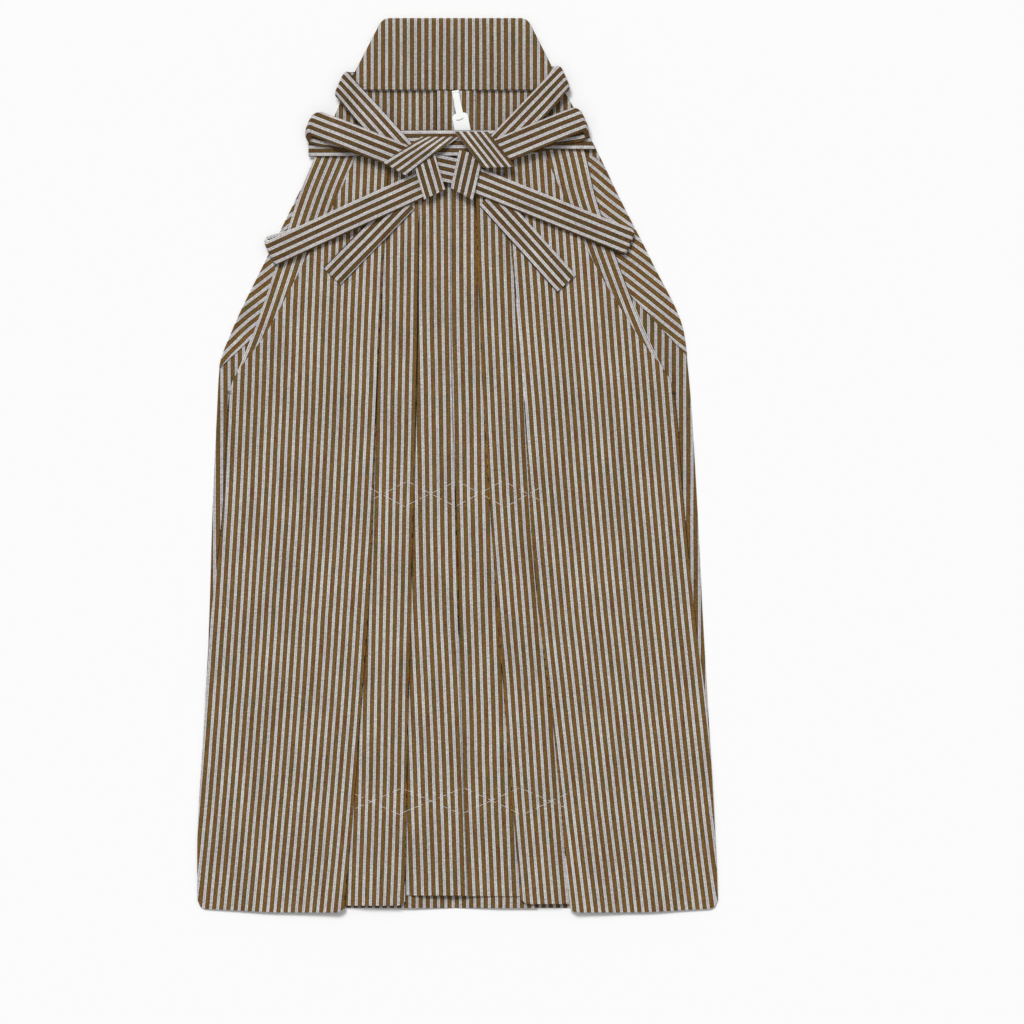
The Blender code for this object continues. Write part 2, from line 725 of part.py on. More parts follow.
def tie_wall(name, rows, material):
    grid = []
    normals = []
    last = len(rows) - 1
    middles = [((row.a + row.b) / 2).to_3d() + Vector((0, 0, row.z)) for row in rows]
    for i, row in enumerate(rows):
        a = row.a.to_3d() + Vector((0, 0, row.z))
        b = row.b.to_3d() + Vector((0, 0, row.z))
        grid.append([a, b])
        ahead = middles[min(last, i + 1)] - middles[i] if i < last else Vector()
        behind = middles[i] - middles[i - 1] if i > 0 else Vector()
        along = (ahead.normalized() + behind.normalized()).normalized()
        across = (b - a).normalized()
        normal = along.cross(across).normalized()
        normals.append([normal, normal])
    return wall(name, grid, normals, TIE_THICKNESS, material)


def tie_stretch(stretch, material):
    start = Vector((stretch.x0, stretch.y0)) * MM
    end = Vector((stretch.x1, stretch.y1)) * MM
    cuts = [None if cut is None else heading(cut) for cut in (stretch.start_cut, stretch.end_cut)]
    rows = settle(strip_pairs(start, end, stretch.width * MM, *cuts))
    return tie_wall(stretch.name, rows, material)


def tie_loop(loop, material):
    """Tie folded back over itself: lower run, open fold and upper run in one strip."""
    tip = Vector((loop.x, loop.y)) * MM
    upper_way = heading(loop.upper_heading)
    lower_way = heading(loop.lower_heading)
    inward = (upper_way + lower_way).normalized()
    fold_line = Vector((-inward.y, inward.x))
    lower_end_cut = fold_line if loop.lower_length * MM < TIE_WIDTH else None
    lower_end = tip + lower_way * loop.lower_length * MM
    hemward = fold_line if fold_line.y < 0 else -fold_line
    lower_pairs = []
    for a, b in strip_pairs(tip, lower_end, TIE_WIDTH, fold_line, lower_end_cut):
        along = ((a + b) / 2 - tip).length / (loop.slip_reach * MM)
        slip = hemward * loop.slip * MM * math.exp(-along * along)
        lower_pairs.append((a + slip, b + slip))
    lower = settle(lower_pairs)
    upper_end = tip + upper_way * loop.upper_length * MM
    upper = settle(strip_pairs(tip, upper_end, TIE_WIDTH, fold_line, None))
    clear_of_lower = lower[0].z + TIE_THICKNESS + GAP
    opened = []
    for i, row in enumerate(upper):
        ease = math.exp(-i / PUFF_REACH)
        height = max(row.z, clear_of_lower) if i < ROWS_OVER_FOLD else row.z
        opened.append(Row(row.a, row.b, height + loop.puff * MM * ease))
    placed_rows[-1] = opened
    first, last = lower[0], opened[0]
    radius = (last.z - first.z) / 2
    bend = []
    for k in range(1, FOLD_SEGMENTS):
        turn = math.pi * k / FOLD_SEGMENTS
        share = (1 - math.cos(turn)) / 2
        shift = -inward * radius * math.sin(turn)
        ends = [begin.lerp(finish, share) + shift for begin, finish in ((first.a, last.a), (first.b, last.b))]
        bend.append(Row(*ends, blend(first.z, last.z, share)))
    rows = list(reversed(lower)) + bend + opened
    return tie_wall(loop.name, rows, material)


def main():
    for item in list(bpy.data.objects):
        bpy.data.objects.remove(item, do_unlink=True)
    cloth = make_material("striped_ribbed_silk", (0.33, 0.24, 0.15), 0.75)
    back_cloth = make_material("striped_ribbed_silk_back", (0.26, 0.19, 0.13), 0.8)
    tie_cloth = make_material("striped_tie_silk", (0.42, 0.33, 0.23), 0.72)
    plastic = make_material("white_plastic", (0.85, 0.86, 0.84), 0.4)
    for side in ("right", "left"):
        back_leg(side, back_cloth)
        turn_in(side, back_cloth)
        front_leg(side, cloth)
        leaf_pleat(side, cloth)
    waistband(tie_cloth)
    back_board(cloth)
    spatula(plastic)
    for stretch in TAILS:
        tie_stretch(stretch, tie_cloth)
    for loop in LOOPS_BELOW + LOOPS_AT_WAIST:
        tie_loop(loop, tie_cloth)
    tie_stretch(KNOT_CENTRE, tie_cloth)
    for stretch in KNOT_HANGING:
        tie_stretch(stretch, tie_cloth)
    for stretch in KNOT_WRAPS:
        tie_stretch(stretch, tie_cloth)


main()
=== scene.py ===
"""Looks of the striped, pleated hakama trousers, laid flat with the front up.

The wearer's right is at -X, the waist is towards +Y and the back lies on z = 0. Tables hold
millimetres, and the functions that read them turn these to metres.
"""

import math
from collections import namedtuple

import bmesh
import bpy
import numpy as np
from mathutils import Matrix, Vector
from mathutils.bvhtree import BVHTree


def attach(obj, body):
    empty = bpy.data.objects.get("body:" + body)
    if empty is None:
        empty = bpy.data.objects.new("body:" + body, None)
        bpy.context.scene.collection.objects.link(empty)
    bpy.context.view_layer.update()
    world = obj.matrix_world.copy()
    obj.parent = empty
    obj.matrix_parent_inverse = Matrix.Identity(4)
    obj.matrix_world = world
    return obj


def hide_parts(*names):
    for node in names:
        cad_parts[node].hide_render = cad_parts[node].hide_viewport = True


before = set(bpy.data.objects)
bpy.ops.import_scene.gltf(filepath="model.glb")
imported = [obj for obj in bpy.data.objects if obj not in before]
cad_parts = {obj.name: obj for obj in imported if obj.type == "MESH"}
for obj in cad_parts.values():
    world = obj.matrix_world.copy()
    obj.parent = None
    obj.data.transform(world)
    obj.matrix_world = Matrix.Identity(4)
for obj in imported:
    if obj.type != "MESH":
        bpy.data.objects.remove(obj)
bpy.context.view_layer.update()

MM = 0.001

# The photograph's view: straight down, with this square of the surface in the frame.
VIEW_CENTRE = (63.6 * MM, -54.6 * MM)
VIEW_SIDE = 1195 * MM
VIEW_PLANE = 6 * MM
LENS = 200
SENSOR = 36

# The solids' walls and the gap between layers; the cloth here is a thinner shell on them.
WALL = 1.0 * MM
GAP = 0.3 * MM
LAYER = WALL + GAP
SHELL = 0.7 * MM
TIE_THICKNESS = 1.6 * MM
TIE_WIDTH = 30.5 * MM

WAIST_Y = 391 * MM
BAND_WIDTH = 30.5 * MM
PLEAT_TOP_Y = 388 * MM
HEM_Y = -522 * MM
STOP_Y = 87 * MM
CENTRE_X = -2 * MM
HEM_CORNER = 11 * MM
HEM_SLOPE = 4 * MM
HEM_SLOPE_REACH = 100 * MM
HEM_CORNER_START = 0.9

# Outer edge of the back from the board down to the hem. Each row of these three tables is a
# height, and where the edge lies on the wearer's right and left.
BACK_EDGES = (
    (438, -131, 124), (405, -145, 143), (365, -163, 164), (318, -185, 186), (235, -226, 228),
    (155, -264, 264), (114, -278, 269), (60, -281, 273.5), (-50, -286, 280), (-180, -290, 286.5),
    (-300, -296, 293.5), (-460, -304, 302), (-522, -304, 304),
)

# Outer edge of the front's outermost panel: the leaf fold down to the stop, then the side seam.
FRONT_EDGES = (
    (391, -103, 88), (362, -118, 102), (318, -138, 122), (235, -180, 160), (155, -223, 208),
    (87, -265.5, 252), (-50, -273.5, 264), (-180, -288, 277.5), (-300, -296, 292.5), (-460, -304, 302),
    (-522, -304, 304),
)

# Edge of the front beside each side opening, which the leaf pleat's lower fold makes.
OPENING_EDGES = (
    (391, -155, 142), (362, -166, 150), (318, -184, 160), (235, -211, 188), (155, -238, 219),
    (87, -265.5, 252),
)

# The five front pleats: where each fold edge lies at the heights below, how far its cloth
# turns under at waist and hem, and how low the panel that ends there hangs.
FOLD_HEIGHTS = (391, 247, 111, -116, -329, -522)
Fold = namedtuple("Fold", "at depth_waist depth_hem hem")
FOLD_A = Fold((-80, -87, -94, -102, -117, -133), 12, 46, -522)
FOLD_B = Fold((-44, -46, -48, -54, -59, -62), 22, 40, -514)
FOLD_C = Fold((-9, -9, -8, -1, 3, 11), 24, 50, -502)
FOLD_D = Fold((17, 24, 29, 43, 59, 75), 22, 38, -512)
FOLD_E = Fold((50, 64, 76, 90, 115, 132), 16, 42, -522)
# Places where a fold's edge stands open: its middle, how far it reaches each way, and the
# opening there in layers.
Opening = namedtuple("Opening", "y reach layers")
FOLD_OPENINGS = {
    FOLD_A: (Opening(-80, 46, 0.9), Opening(40, 30, 0.35), Opening(-300, 60, 0.4), Opening(-500, 24, 0.8)),
    FOLD_B: (Opening(-20, 40, 0.4), Opening(-240, 70, 0.5), Opening(-490, 30, 0.7)),
    FOLD_C: (Opening(120, 60, 0.5), Opening(-180, 70, 0.5), Opening(-470, 50, 0.6)),
    FOLD_D: (Opening(-45, 26, 1.0), Opening(-240, 34, 0.8), Opening(-450, 52, 0.9)),
    FOLD_E: (Opening(-33, 42, 1.0), Opening(-285, 55, 0.5), Opening(-498, 26, 0.8)),
}
EDGE_OPENINGS = {
    "right": (Opening(312, 10, 0.9), Opening(198, 12, 0.9), Opening(140, 20, 0.4)),
    "left": (Opening(248, 14, 1.0), Opening(180, 18, 0.4)),
}
FOLD_CORNER = 8 * MM
FOLD_CORNER_RISE = 4.5 * MM

CENTRE_PANEL_HEM = -503
CENTRE_PANEL_INSET = 2 * MM

# The cloth's stripes. One light stripe of each front panel is followed at the heights below,
# and pitch is how close the stripes lie in that panel.
PERIOD = 8.45 * MM
STRIPE_HEIGHTS = (391, 193, 76, -41, -157, -274, -391, -522)
Panel = namedtuple("Panel", "stripe pitch")
PANEL_1 = Panel((-118, -126.4, -130.8, -136.1, -143, -150.7, -159.8, -171.5), 8.35)
PANEL_2 = Panel((-75.3, -77.6, -79.7, -82, -84.7, -87.2, -89.2, -93.6), 8.2)
PANEL_3 = Panel((-35.6, -34.5, -32.6, -30.8, -28.7, -23.6, -18.9, -15), 8.55)
PANEL_4 = Panel((8.2, 8.8, 11.2, 13.1, 15.8, 19.6, 22.6, 28), 8.6)
PANEL_5 = Panel((33.7, 39.6, 44.8, 50.5, 58.9, 68.4, 75.9, 86.5), 8.4)
PANEL_6 = Panel((116, 130, 139.2, 148.3, 158.9, 171.3, 184.4, 200.1), 8.45)

# The pleat by the centre back: distance of its fold from the centre line, and its depth.
BACK_FOLD_TOP = 4 * MM
BACK_FOLD_HEM = 48 * MM
BACK_DEPTH_TOP = 18 * MM
BACK_DEPTH_HEM = 46 * MM
BACK_SAG_START = 10 * MM
BACK_SAG_RANGE = 24 * MM
BACK_SAG_INSET = 3 * MM
BACK_TOP_Y = 437.6 * MM
BACK_HEM_Y = -517 * MM

BOARD_BOTTOM_Y = 438 * MM
BOARD_TOP_Y = 522 * MM
BOARD_BOTTOM = (-131 * MM, 124 * MM)
BOARD_TOP = (-87.5 * MM, 81.5 * MM)
BOARD_THICKNESS = 5 * MM
BOARD_CORNER = 9 * MM
CORNER_STEPS = 10
BOARD_EDGE = 1.9 * MM
BOARD_ROUNDING = 1.3 * MM

SPATULA_TOP = (-2.6 * MM, 437.4 * MM)
SPATULA_LEAN = math.radians(10.5)
SPATULA_THICKNESS = 1.6 * MM
SPATULA_EDGE = 0.6 * MM
SPATULA_NECK = 8.5 * MM
SPATULA_BODY = 18.7 * MM
SPATULA_NECK_LENGTH = 27 * MM
SPATULA_LENGTH = 86 * MM

# How high the front lies: at its sides below and beside the openings, over the back's pleats,
# and over the spatula and the band's inner side at the waist.
SIDE_BED_LOW = LAYER
SIDE_BED_HIGH = 2 * LAYER
CENTRE_BED = 3 * LAYER
SPATULA_LAYER = SPATULA_THICKNESS + GAP
WAIST_BED = CENTRE_BED + SPATULA_LAYER + LAYER
BED_MARGIN = 14 * MM
BED_RAMP = 90 * MM
SIDE_RAMP = (55 * MM, 98 * MM)
WAIST_RAMP = (328 * MM, 358 * MM)

# Soft creases pressed into the front: ends, width and height, with troughs below zero.
Crease = namedtuple("Crease", "x0 y0 x1 y1 width height")
FRONT_CREASES = [Crease(*row) for row in (
    (-272, -170, -198, -174, 5, -0.4), (-196, -175, -140, -171, 7, -0.2),
    (176, -166, 262, -173, 6, -0.3), (-205, 60, -226, -330, 24, 0.7),
    (-238, -60, -262, -430, 16, 0.5), (-176, -130, -196, -470, 18, 0.45),
    (-150, 150, -158, -60, 20, 0.4), (-122, -60, -140, -300, 12, 0.35),
    (178, 70, 208, -250, 24, 0.6), (222, -40, 256, -380, 18, 0.5),
    (150, -180, 186, -480, 20, 0.45), (128, 120, 144, -90, 18, 0.4),
    (-26, 60, -24, -210, 12, 0.35), (16, 30, 20, -260, 10, 0.3),
    (56, -60, 78, -360, 12, 0.35), (-76, 20, -84, -280, 10, 0.3),
    (-212, 150, -228, 96, 9, 0.4), (196, 158, 214, 92, 10, 0.4),
    (-262, -470, -238, -512, 14, 0.5), (252, -458, 270, -508, 16, 0.5),
    (-140.5, -366, -145.5, -432, 9, -0.9), (119, -222, 121.5, -350, 9, -0.7),
)]
# Troughs on the underside, which otherwise lies flat.
BACK_CREASES = [Crease(*row) for row in (
    (-236, 30, -250, -360, 12, 0.3), (-150, -90, -176, -440, 10, 0.25),
    (150, 40, 186, -300, 12, 0.3), (230, -120, 256, -470, 11, 0.28),
    (-262, -168, -140, -173, 6, 0.22), (132, -170, 258, -166, 6, 0.2),
)]

TURN_IN_ANGLE = {"right": math.radians(43), "left": math.radians(180 - 47)}
TURN_IN_BOTTOM = {"right": 114 * MM, "left": 129 * MM}
TURN_IN_TOP = {"right": 322 * MM, "left": 350 * MM}
TURN_IN_WIDTH = {"right": (78 * MM, 46 * MM), "left": (122 * MM, 76 * MM)}
TURN_IN_CEILING = 360.5 * MM
TURN_IN_INSET = 0.6 * MM
LEAF_UNDERLAP = 22 * MM
LEAF_CLEARANCE = 3 * MM

BAND_ENDS = (-174 * MM, 150 * MM)
# Towards the wearer's left the band narrows, and it ends along the slant of the side.
BAND_NARROWING = 8 * MM
BAND_NARROW_START = 70 * MM
BAND_NARROW_RANGE = 45 * MM
BAND_SLANT = 0.5
BAND_SLANT_START = 118 * MM
BAND_SLANT_RANGE = 30 * MM
BAND_INNER_WIDTH = 29 * MM
BAND_END_FALL = 12 * MM

# A tie folded back on itself: its fold's place, the headings (degrees) of the upper and the
# lower run as they leave the fold, their lengths, how far the fold stands open, how far the
# lower run slips out towards the hem at the fold, and the stripes' shift across the tie.
Loop = namedtuple("Loop", "name x y upper_heading upper_length lower_heading lower_length puff "
                          "slip slip_reach corner shift")
LOOPS_AT_WAIST = (
    Loop("tie_right_upper_loop", -136.5, 445, -48, 125, 0, 9, 0.6, 0, 1, 6, -0.5),
    Loop("tie_left_upper_loop", 124.5, 452, 226.5, 128, 180, 8, 0.6, 0, 1, 6, 2.3),
    Loop("tie_right_wide_loop", -170, 400.5, -21.5, 126, -21.5, 88, 2.6, 9, 40, 10, -1.9),
    Loop("tie_left_wide_loop", 145, 405, 202.2, 112, 202.2, 84, 2.2, 10.5, 34, 8, 2.3),
)
LOOPS_BELOW = (
    Loop("tie_right_lower_loop", -217.5, 247, 24.5, 196, 24.5, 120, 1.2, -5, 26, 5, -1),
    Loop("tie_left_lower_loop", 200.5, 260.5, 158.2, 200, 158.2, 120, 1.2, 2, 50, 5, 1),
)

# A straight stretch of tie from one end to the other, with its width, the headings along
# which its two ends are cut (none: square), and the stripes' shift across it.
Stretch = namedtuple("Stretch", "name x0 y0 x1 y1 width start_cut end_cut shift")
TAILS = (
    Stretch("tie_right_tail", -146.5, 220.5, -60, 309, 28, None, None, 1.9),
    Stretch("tie_left_tail", 127, 212, 36, 313, 29.5, None, None, 0.7),
)
KNOT_CENTRE = Stretch("tie_knot_centre", -41, 351, 17.5, 338, 30.5, None, None, 0)
KNOT_HANGING = (
    Stretch("tie_right_hanging_wrap", -26.5, 315.5, -39.5, 360, 27, 206, None, 0),
    Stretch("tie_left_hanging_wrap", 5, 316, 16, 364, 28.5, 151, None, 0),
)
KNOT_WRAPS = (
    Stretch("tie_right_wrap", -73.5, 345, -20, 382.5, 26, 150, 180, 0),
    Stretch("tie_left_wrap", 48.5, 347, 16, 388.5, 31, 182, 180, 0),
)
TIE_STEP = 11 * MM
TIE_FINE = 5
TIE_PROBES = (-0.06, 0.1, 0.3, 0.5, 0.7, 0.9, 1.06)
PUFF_REACH = 2.5
ROWS_OVER_FOLD = 2
REST_MARGIN = 3 * MM
FOLD_SEGMENTS = 12

# The weave: stripes as shares of their period, and pitches of ribs and dots.
LIGHT_HALF = 0.205
THREAD_HALF = 0.045
BORDER = 0.06
EDGE_SOFT = 0.014
RIB_PITCH = 1.02 * MM
DOT_PITCH = 0.235 * MM
BLACK = (0.013, 0.009, 0.007)
GOLD = (0.57, 0.29, 0.035)
RUST = (0.5, 0.16, 0.018)
OLIVE = (0.34, 0.24, 0.035)
PALE = (0.65, 0.66, 0.65)
LILAC = (0.58, 0.57, 0.6)
PALE_SHADE = (0.16, 0.14, 0.14)
ORANGE = (0.42, 0.2, 0.07)

# The light: an even glow from all round, and a broad soft light from past the waist.
WORLD_LIGHT = 0.5
LIGHT_ANGLE = 22
LIGHT_POWER = 2.75
LIGHT_FROM = (-0.35, 0.9, 1.0)

# One line of a front or back from waist to hem, as values for all its rows: its place, the
# layers under it, how low it hangs, its place across the stripes, and how far a fold bulges.
Column = namedtuple("Column", "x level hem u bulge")
FOLD_ARC = 6
# A panel's level falls at first fast or at last steeply, by these powers of the way, and a
# run across it has at least these steps.
EASED_POWER = 0.8
STEEP_POWER = 3
LEAST_STEPS = 4
EDGE_STEPS = 3
PANEL_GRAIN = 4 * MM
UNDER_STEPS = 4

# Where the stripes of the other pieces start, measured from the photograph.
LEAF_STRIPE_COS = 0.93
LEAF_FIRST_STRIPE = {"right": 1.2 * MM, "left": 2.6 * MM}
BACK_STRIPE_SHIFT = 2.95 * MM
# Below these heights the turned-in stripes lie as if the fold ran straight on.
TURN_IN_STRAIGHT = {"right": 130 * MM, "left": 238 * MM}
TURN_IN_TRACE = 90 * MM
TURN_IN_POINTS = 4000
BAND_FIRST_STRIPE = -2.45 * MM
BOARD_STRIPE_SHIFT = -1.75 * MM

# The small curved notch in the spatula's body, painted on as a dark line of shade, and the
# stitches across its neck.
NOTCH_ENDS = ((-1.3 * MM, 402.8 * MM), (6.8 * MM, 405.2 * MM))
NOTCH_SAG = 1.0 * MM
NOTCH_WIDTH = 0.75 * MM
NOTCH_RISE = 0.06 * MM
NOTCH_DOT = 0.25 * MM
NOTCH_STEPS = 10
NECK_STITCHES = (-2.6 * MM, 0.2 * MM, 2.8 * MM)

# A tie's row: its two edge points and its height.
Row = namedtuple("Row", "a b z")

TIE_EDGE_STEPS = 5
TIE_ACROSS = 10
TIE_SOFT = 0.18 * MM
CORNER_FADE = 3

# White basting threads that hold the pleats: two zigzags across them that mirror each other.
Basting = namedtuple("Basting", "x0 x1 y rise half_period shown_from shown_to")
BASTING = (
    Basting(-116, 112, -33.5, 15, 57, -102, 97),
    Basting(-135, 145, -392, 15.5, 70, -122, 132),
)
# Threads: how far they lie above the cloth and dip into it, and the stitches along the side
# seams (thick and dark, so that they also paint the seams' groove shadow), the white line along
# the openings' edges (a painted highlight) and the stitches across the openings' lower ends.
THREAD_RADIUS = 0.2 * MM
THREAD_LIFT = 0.12 * MM
THREAD_DIP = 0.35 * MM
STITCH_SPACING = 13
SEAM_END = -110 * MM
SEAM_STITCH = 5 * MM
SEAM_GAP = 0.2 * MM
SEAM_OUT = 0.6 * MM
# The seam's strands are thick: partly stitches, partly painted shadow of the seam's groove.
SEAM_RADIUS = 0.5 * MM
# Painted highlight: a white tube along the lower part of each opening's edge, for the light that edge
# catches.
OPENING_HIGHLIGHT_TOP = {"right": 149 * MM, "left": 190 * MM}
OPENING_HIGHLIGHT_END = 97 * MM
OPENING_HIGHLIGHT_POINTS = 16
OPENING_HIGHLIGHT_OUT = 0.1 * MM
OPENING_HIGHLIGHT_IN = 0.8 * MM
OPENING_HIGHLIGHT_RADIUS = 0.42 * MM
STITCH_STEPS = 8
TACK_PLACES = (-266.5 * MM, 253 * MM)
TACK_LEANS = (0.6 * MM, -0.6 * MM)
TACK_COUNT = 5
TACK_START = 0.5 * MM
TACK_PITCH = 0.9 * MM
TACK_LENGTH = 6 * MM

# Soft creases wander and swell along their length; the waves are a faint overall unevenness,
# each with its turns (radians a metre) across and down and its start.
CREASE_WANDER = 0.25
CREASE_BENDS = 7
CREASE_SWELL = 0.25
CREASE_SWELLS = 11
WAVES = ((84, 10.5, 0.3), (-54, 21, 1.7), (30, -28, 4.1), (126, 31.5, 2.2), (-102, 45.5, 5.2))
WAVE_HEIGHT = 0.06 * MM

# Noise in the cloth's own directions: its scale across and along the stripes, and its detail.
Noise = namedtuple("Noise", "across along detail")
WAVER = Noise(14, 9, 2.0)
STREAKS = Noise(260, 45, 3.0)
TINT = Noise(150, 30, 3.0)
SHADE = Noise(30, 12, 4.0)
GRAIN = Noise(420, 420, 1.0)
SLUBS = Noise(190, 520, 1.0)
WAVER_REACH = 1.3 * MM
RIB_SHARE = (0.22, 0.07)
DOT_SHARE = (0.33, 0.1)
RUST_RANGE = (0.48, 0.72)
OLIVE_RANGE = (0.5, 0.3)
LILAC_RANGE = (0.35, 0.65)
SPECK_RANGE = (0.3, 0.75)
SPECK_STRENGTH = 0.75
SPECK_BUMP = -0.15
THREAD_STRENGTH = 0.5
WORN_RANGE = (0.3, 0.7)
WORN_BY_SHADE = 0.14
WORN_BY_GRAIN = 0.24
WORN_BY_SLUBS = 0.2
WORN_LEAST = 0.55
SHADE_BUMP = 1.5
SILK_BUMP = (0.15 * MM, 0.5)
SILK_ROUGHNESS = 0.58
PALE_ROUGHER = 0.1
SILK_SPECULAR = 0.18
SILK_SHEEN = 0.03
SHEEN_ROUGHNESS = 0.45
# Painted shade: the back legs and the board get a copy of the silk darkened all over by this factor, for
# the shade they lie in.
INNER_PAINTED_SHADE = 0.91
# Painted shade: the ties' dark stripes hold less gold, so that they also stand for the shadows along the
# ties' edges.
TIE_PAINTED_SHADE_DEPTH = 0.64
TIE_LIFT = 1.2

PLASTIC_COLOURS = ((0.78, 0.8, 0.78), (0.88, 0.89, 0.88))
PLASTIC_ROUGHNESS = 0.3
PLASTIC_ROUGHER = 0.18
PLASTIC_CLOUD = (60, 3.0)
PLASTIC_GRAIN = (900, 2.0)
PLASTIC_BUMP = (0.02 * MM, 0.3)
# White cotton for the basting; it also colours the painted highlight along the openings' edges.
WHITE_COTTON_AND_HIGHLIGHT = (0.85, 0.85, 0.84)
# Dark thread for the tacks; the same dark paints the shade in the spatula's notch and, in part, the side
# seams' groove.
DARK_THREAD_AND_SHADE = (0.02, 0.016, 0.012)
BROWN_COTTON = (0.16, 0.09, 0.04)
TWIST = (2500, 1.0)
TWIST_SHADE = 0.7
TWIST_BUMP = (0.05 * MM, 0.5)
COTTON_ROUGHNESS = 0.8

FLOOR_REACH = 4.0
FLOOR_Z = -0.05 * MM
FLOOR_COLOUR = (0.86, 0.86, 0.86)
FLOOR_ROUGHNESS = 0.9
FLOOR_SPECULAR = 0.1
VIEW_END = 50

# How finely the meshes are cut: steps between rows, steps across, and steps round each turn.
SHARP_ANGLE = math.radians(50)
ROW_STEP = 4.5 * MM
FINE_STEP = 2 * MM
FRONT_FINE_Y = -500 * MM
BACK_ROW_STEP = 7 * MM
BACK_FINE_Y = -495 * MM
BACK_STEPS = 26
BACK_FOLD_STEPS = 4
BACK_TOP_STEPS = 6
BACK_SAG_STEPS = 3
LEAF_STEPS = 18
LEAF_END_Y = 96 * MM
LEAF_FINE_Y = 110 * MM
LEAF_LEAST = 3 * MM
TURN_IN_ROWS = 64
TURN_IN_STEPS = 28
BAND_ROWS = 84
BAND_TURNS = 8
BAND_INNER_STEPS = 5
BAND_OUTER_STEPS = 8
SLAB_TURNS = 5
SLAB_RINGS = (0.85, 0.6, 0.3)
THREAD_SIDES = 6

# The turned-in side's round start at the fold: shares of a turn, bulge, fall and flat length.
TURN_IN_ARC = (0.12, 0.5)
TURN_IN_ARC_STEPS = 3
TURN_IN_BULGE = 0.55 * MM
TURN_IN_FALL = 0.42 * LAYER
BAND_ROUNDING = 2.2 * MM
BOARD_SPACING = 5 * MM
BOARD_CROWN = 0.4 * MM
SPATULA_SPACING = 2 * MM
SPATULA_CROWN = 0.15 * MM
NECK_LEAN = 0.5 * MM
NECK_WAIST = 0.93
NECK_FROM = -1.2 * MM
NECK_TO = -3.6 * MM
TIE_FINE_GAP = 3 * MM
TIE_SWELLS = 60
TIE_SWELL = (0.6, 0.4)
CORNER_LIMIT = 0.98
BASTING_SEED = 11
BASTING_JITTER = 1.5
BASTING_STEPS = 9
STITCH_FROM = 0.02
STITCH_SHARE = 0.86
ABOVE_ALL = 0.1


def clamp(value):
    return np.clip(value, 0.0, 1.0)


def smooth(value):
    t = clamp(value)
    return t * t * (3 - 2 * t)


def blend(low, high, share):
    return low + (high - low) * share


def xyz(x, y, z):
    """Points from three coordinates, each of them a number or an array."""
    return np.stack(np.broadcast_arrays(x, y, z), -1)


def curve(stations, values):
    """Smooth curve through values at falling stations, with no overshoot, as a function."""
    s = np.array(stations[::-1], float) * MM
    v = np.array(values[::-1], float) * MM
    slope = np.diff(v) / np.diff(s)
    tangent = np.zeros(len(s))
    tangent[0] = slope[0]
    tangent[-1] = slope[-1]
    for k in range(1, len(s) - 1):
        if slope[k - 1] * slope[k] > 0:
            tangent[k] = 2 * slope[k - 1] * slope[k] / (slope[k - 1] + slope[k])

    def read(place):
        place = np.clip(place, s[0], s[-1])
        i = np.clip(np.searchsorted(s, place, side="right") - 1, 0, len(s) - 2)
        width = s[i + 1] - s[i]
        t = (place - s[i]) / width
        value = (2 * t ** 3 - 3 * t ** 2 + 1) * v[i] + (3 * t ** 2 - 2 * t ** 3) * v[i + 1]
        value = value + (t ** 3 - 2 * t ** 2 + t) * width * tangent[i]
        return value + (t ** 3 - t ** 2) * width * tangent[i + 1]

    return read


def edge_curves(table):
    heights, right, left = zip(*table)
    return {"right": curve(heights, right), "left": curve(heights, left)}


back_edge = edge_curves(BACK_EDGES)
front_edge = edge_curves(FRONT_EDGES)
opening_edge = edge_curves(OPENING_EDGES)
fold_curve = {fold: curve(FOLD_HEIGHTS, fold.at) for fold in (FOLD_A, FOLD_B, FOLD_C, FOLD_D, FOLD_E)}
panels = (PANEL_1, PANEL_2, PANEL_3, PANEL_4, PANEL_5, PANEL_6)
stripe_curve = {panel: curve(STRIPE_HEIGHTS, panel.stripe) for panel in panels}


def length_share(y):
    return clamp((WAIST_Y - y) / (WAIST_Y - HEM_Y))


def fold_depth(fold, y):
    return blend(fold.depth_waist, fold.depth_hem, length_share(y)) * MM


def back_fold(y):
    return blend(BACK_FOLD_TOP, BACK_FOLD_HEM, length_share(y))


def back_depth(y):
    return blend(BACK_DEPTH_TOP, BACK_DEPTH_HEM, length_share(y))


def bed(x, y):
    """Height of the front's lowest face at a place: over the back, its pleats and turned-in sides."""
    side = blend(SIDE_BED_LOW, SIDE_BED_HIGH, edge_level(y))
    rise = smooth((y - WAIST_RAMP[0]) / (WAIST_RAMP[1] - WAIST_RAMP[0]))
    centre = blend(CENTRE_BED, WAIST_BED, rise)
    reach = back_fold(y) + back_depth(y) + BED_MARGIN
    return blend(centre, side, smooth((abs(x - CENTRE_X) - reach) / BED_RAMP))


def edge_level(y):
    """Layers under the outer edge of the front's outermost panel: one beside the openings."""
    return smooth((y - SIDE_RAMP[0]) / (SIDE_RAMP[1] - SIDE_RAMP[0]))


def top_level(x, y):
    """Layers below the uppermost layer of the front at a place."""
    outer_right = front_edge["right"](y)
    outer_left = front_edge["left"](y)
    inner_right = fold_curve[FOLD_A](y) - fold_depth(FOLD_A, y)
    inner_left = fold_curve[FOLD_E](y) + fold_depth(FOLD_E, y)
    if x < inner_right:
        share = clamp((inner_right - x) / (inner_right - outer_right))
    else:
        share = clamp((x - inner_left) / (outer_left - inner_left))
    return blend(2.0, edge_level(y), share)


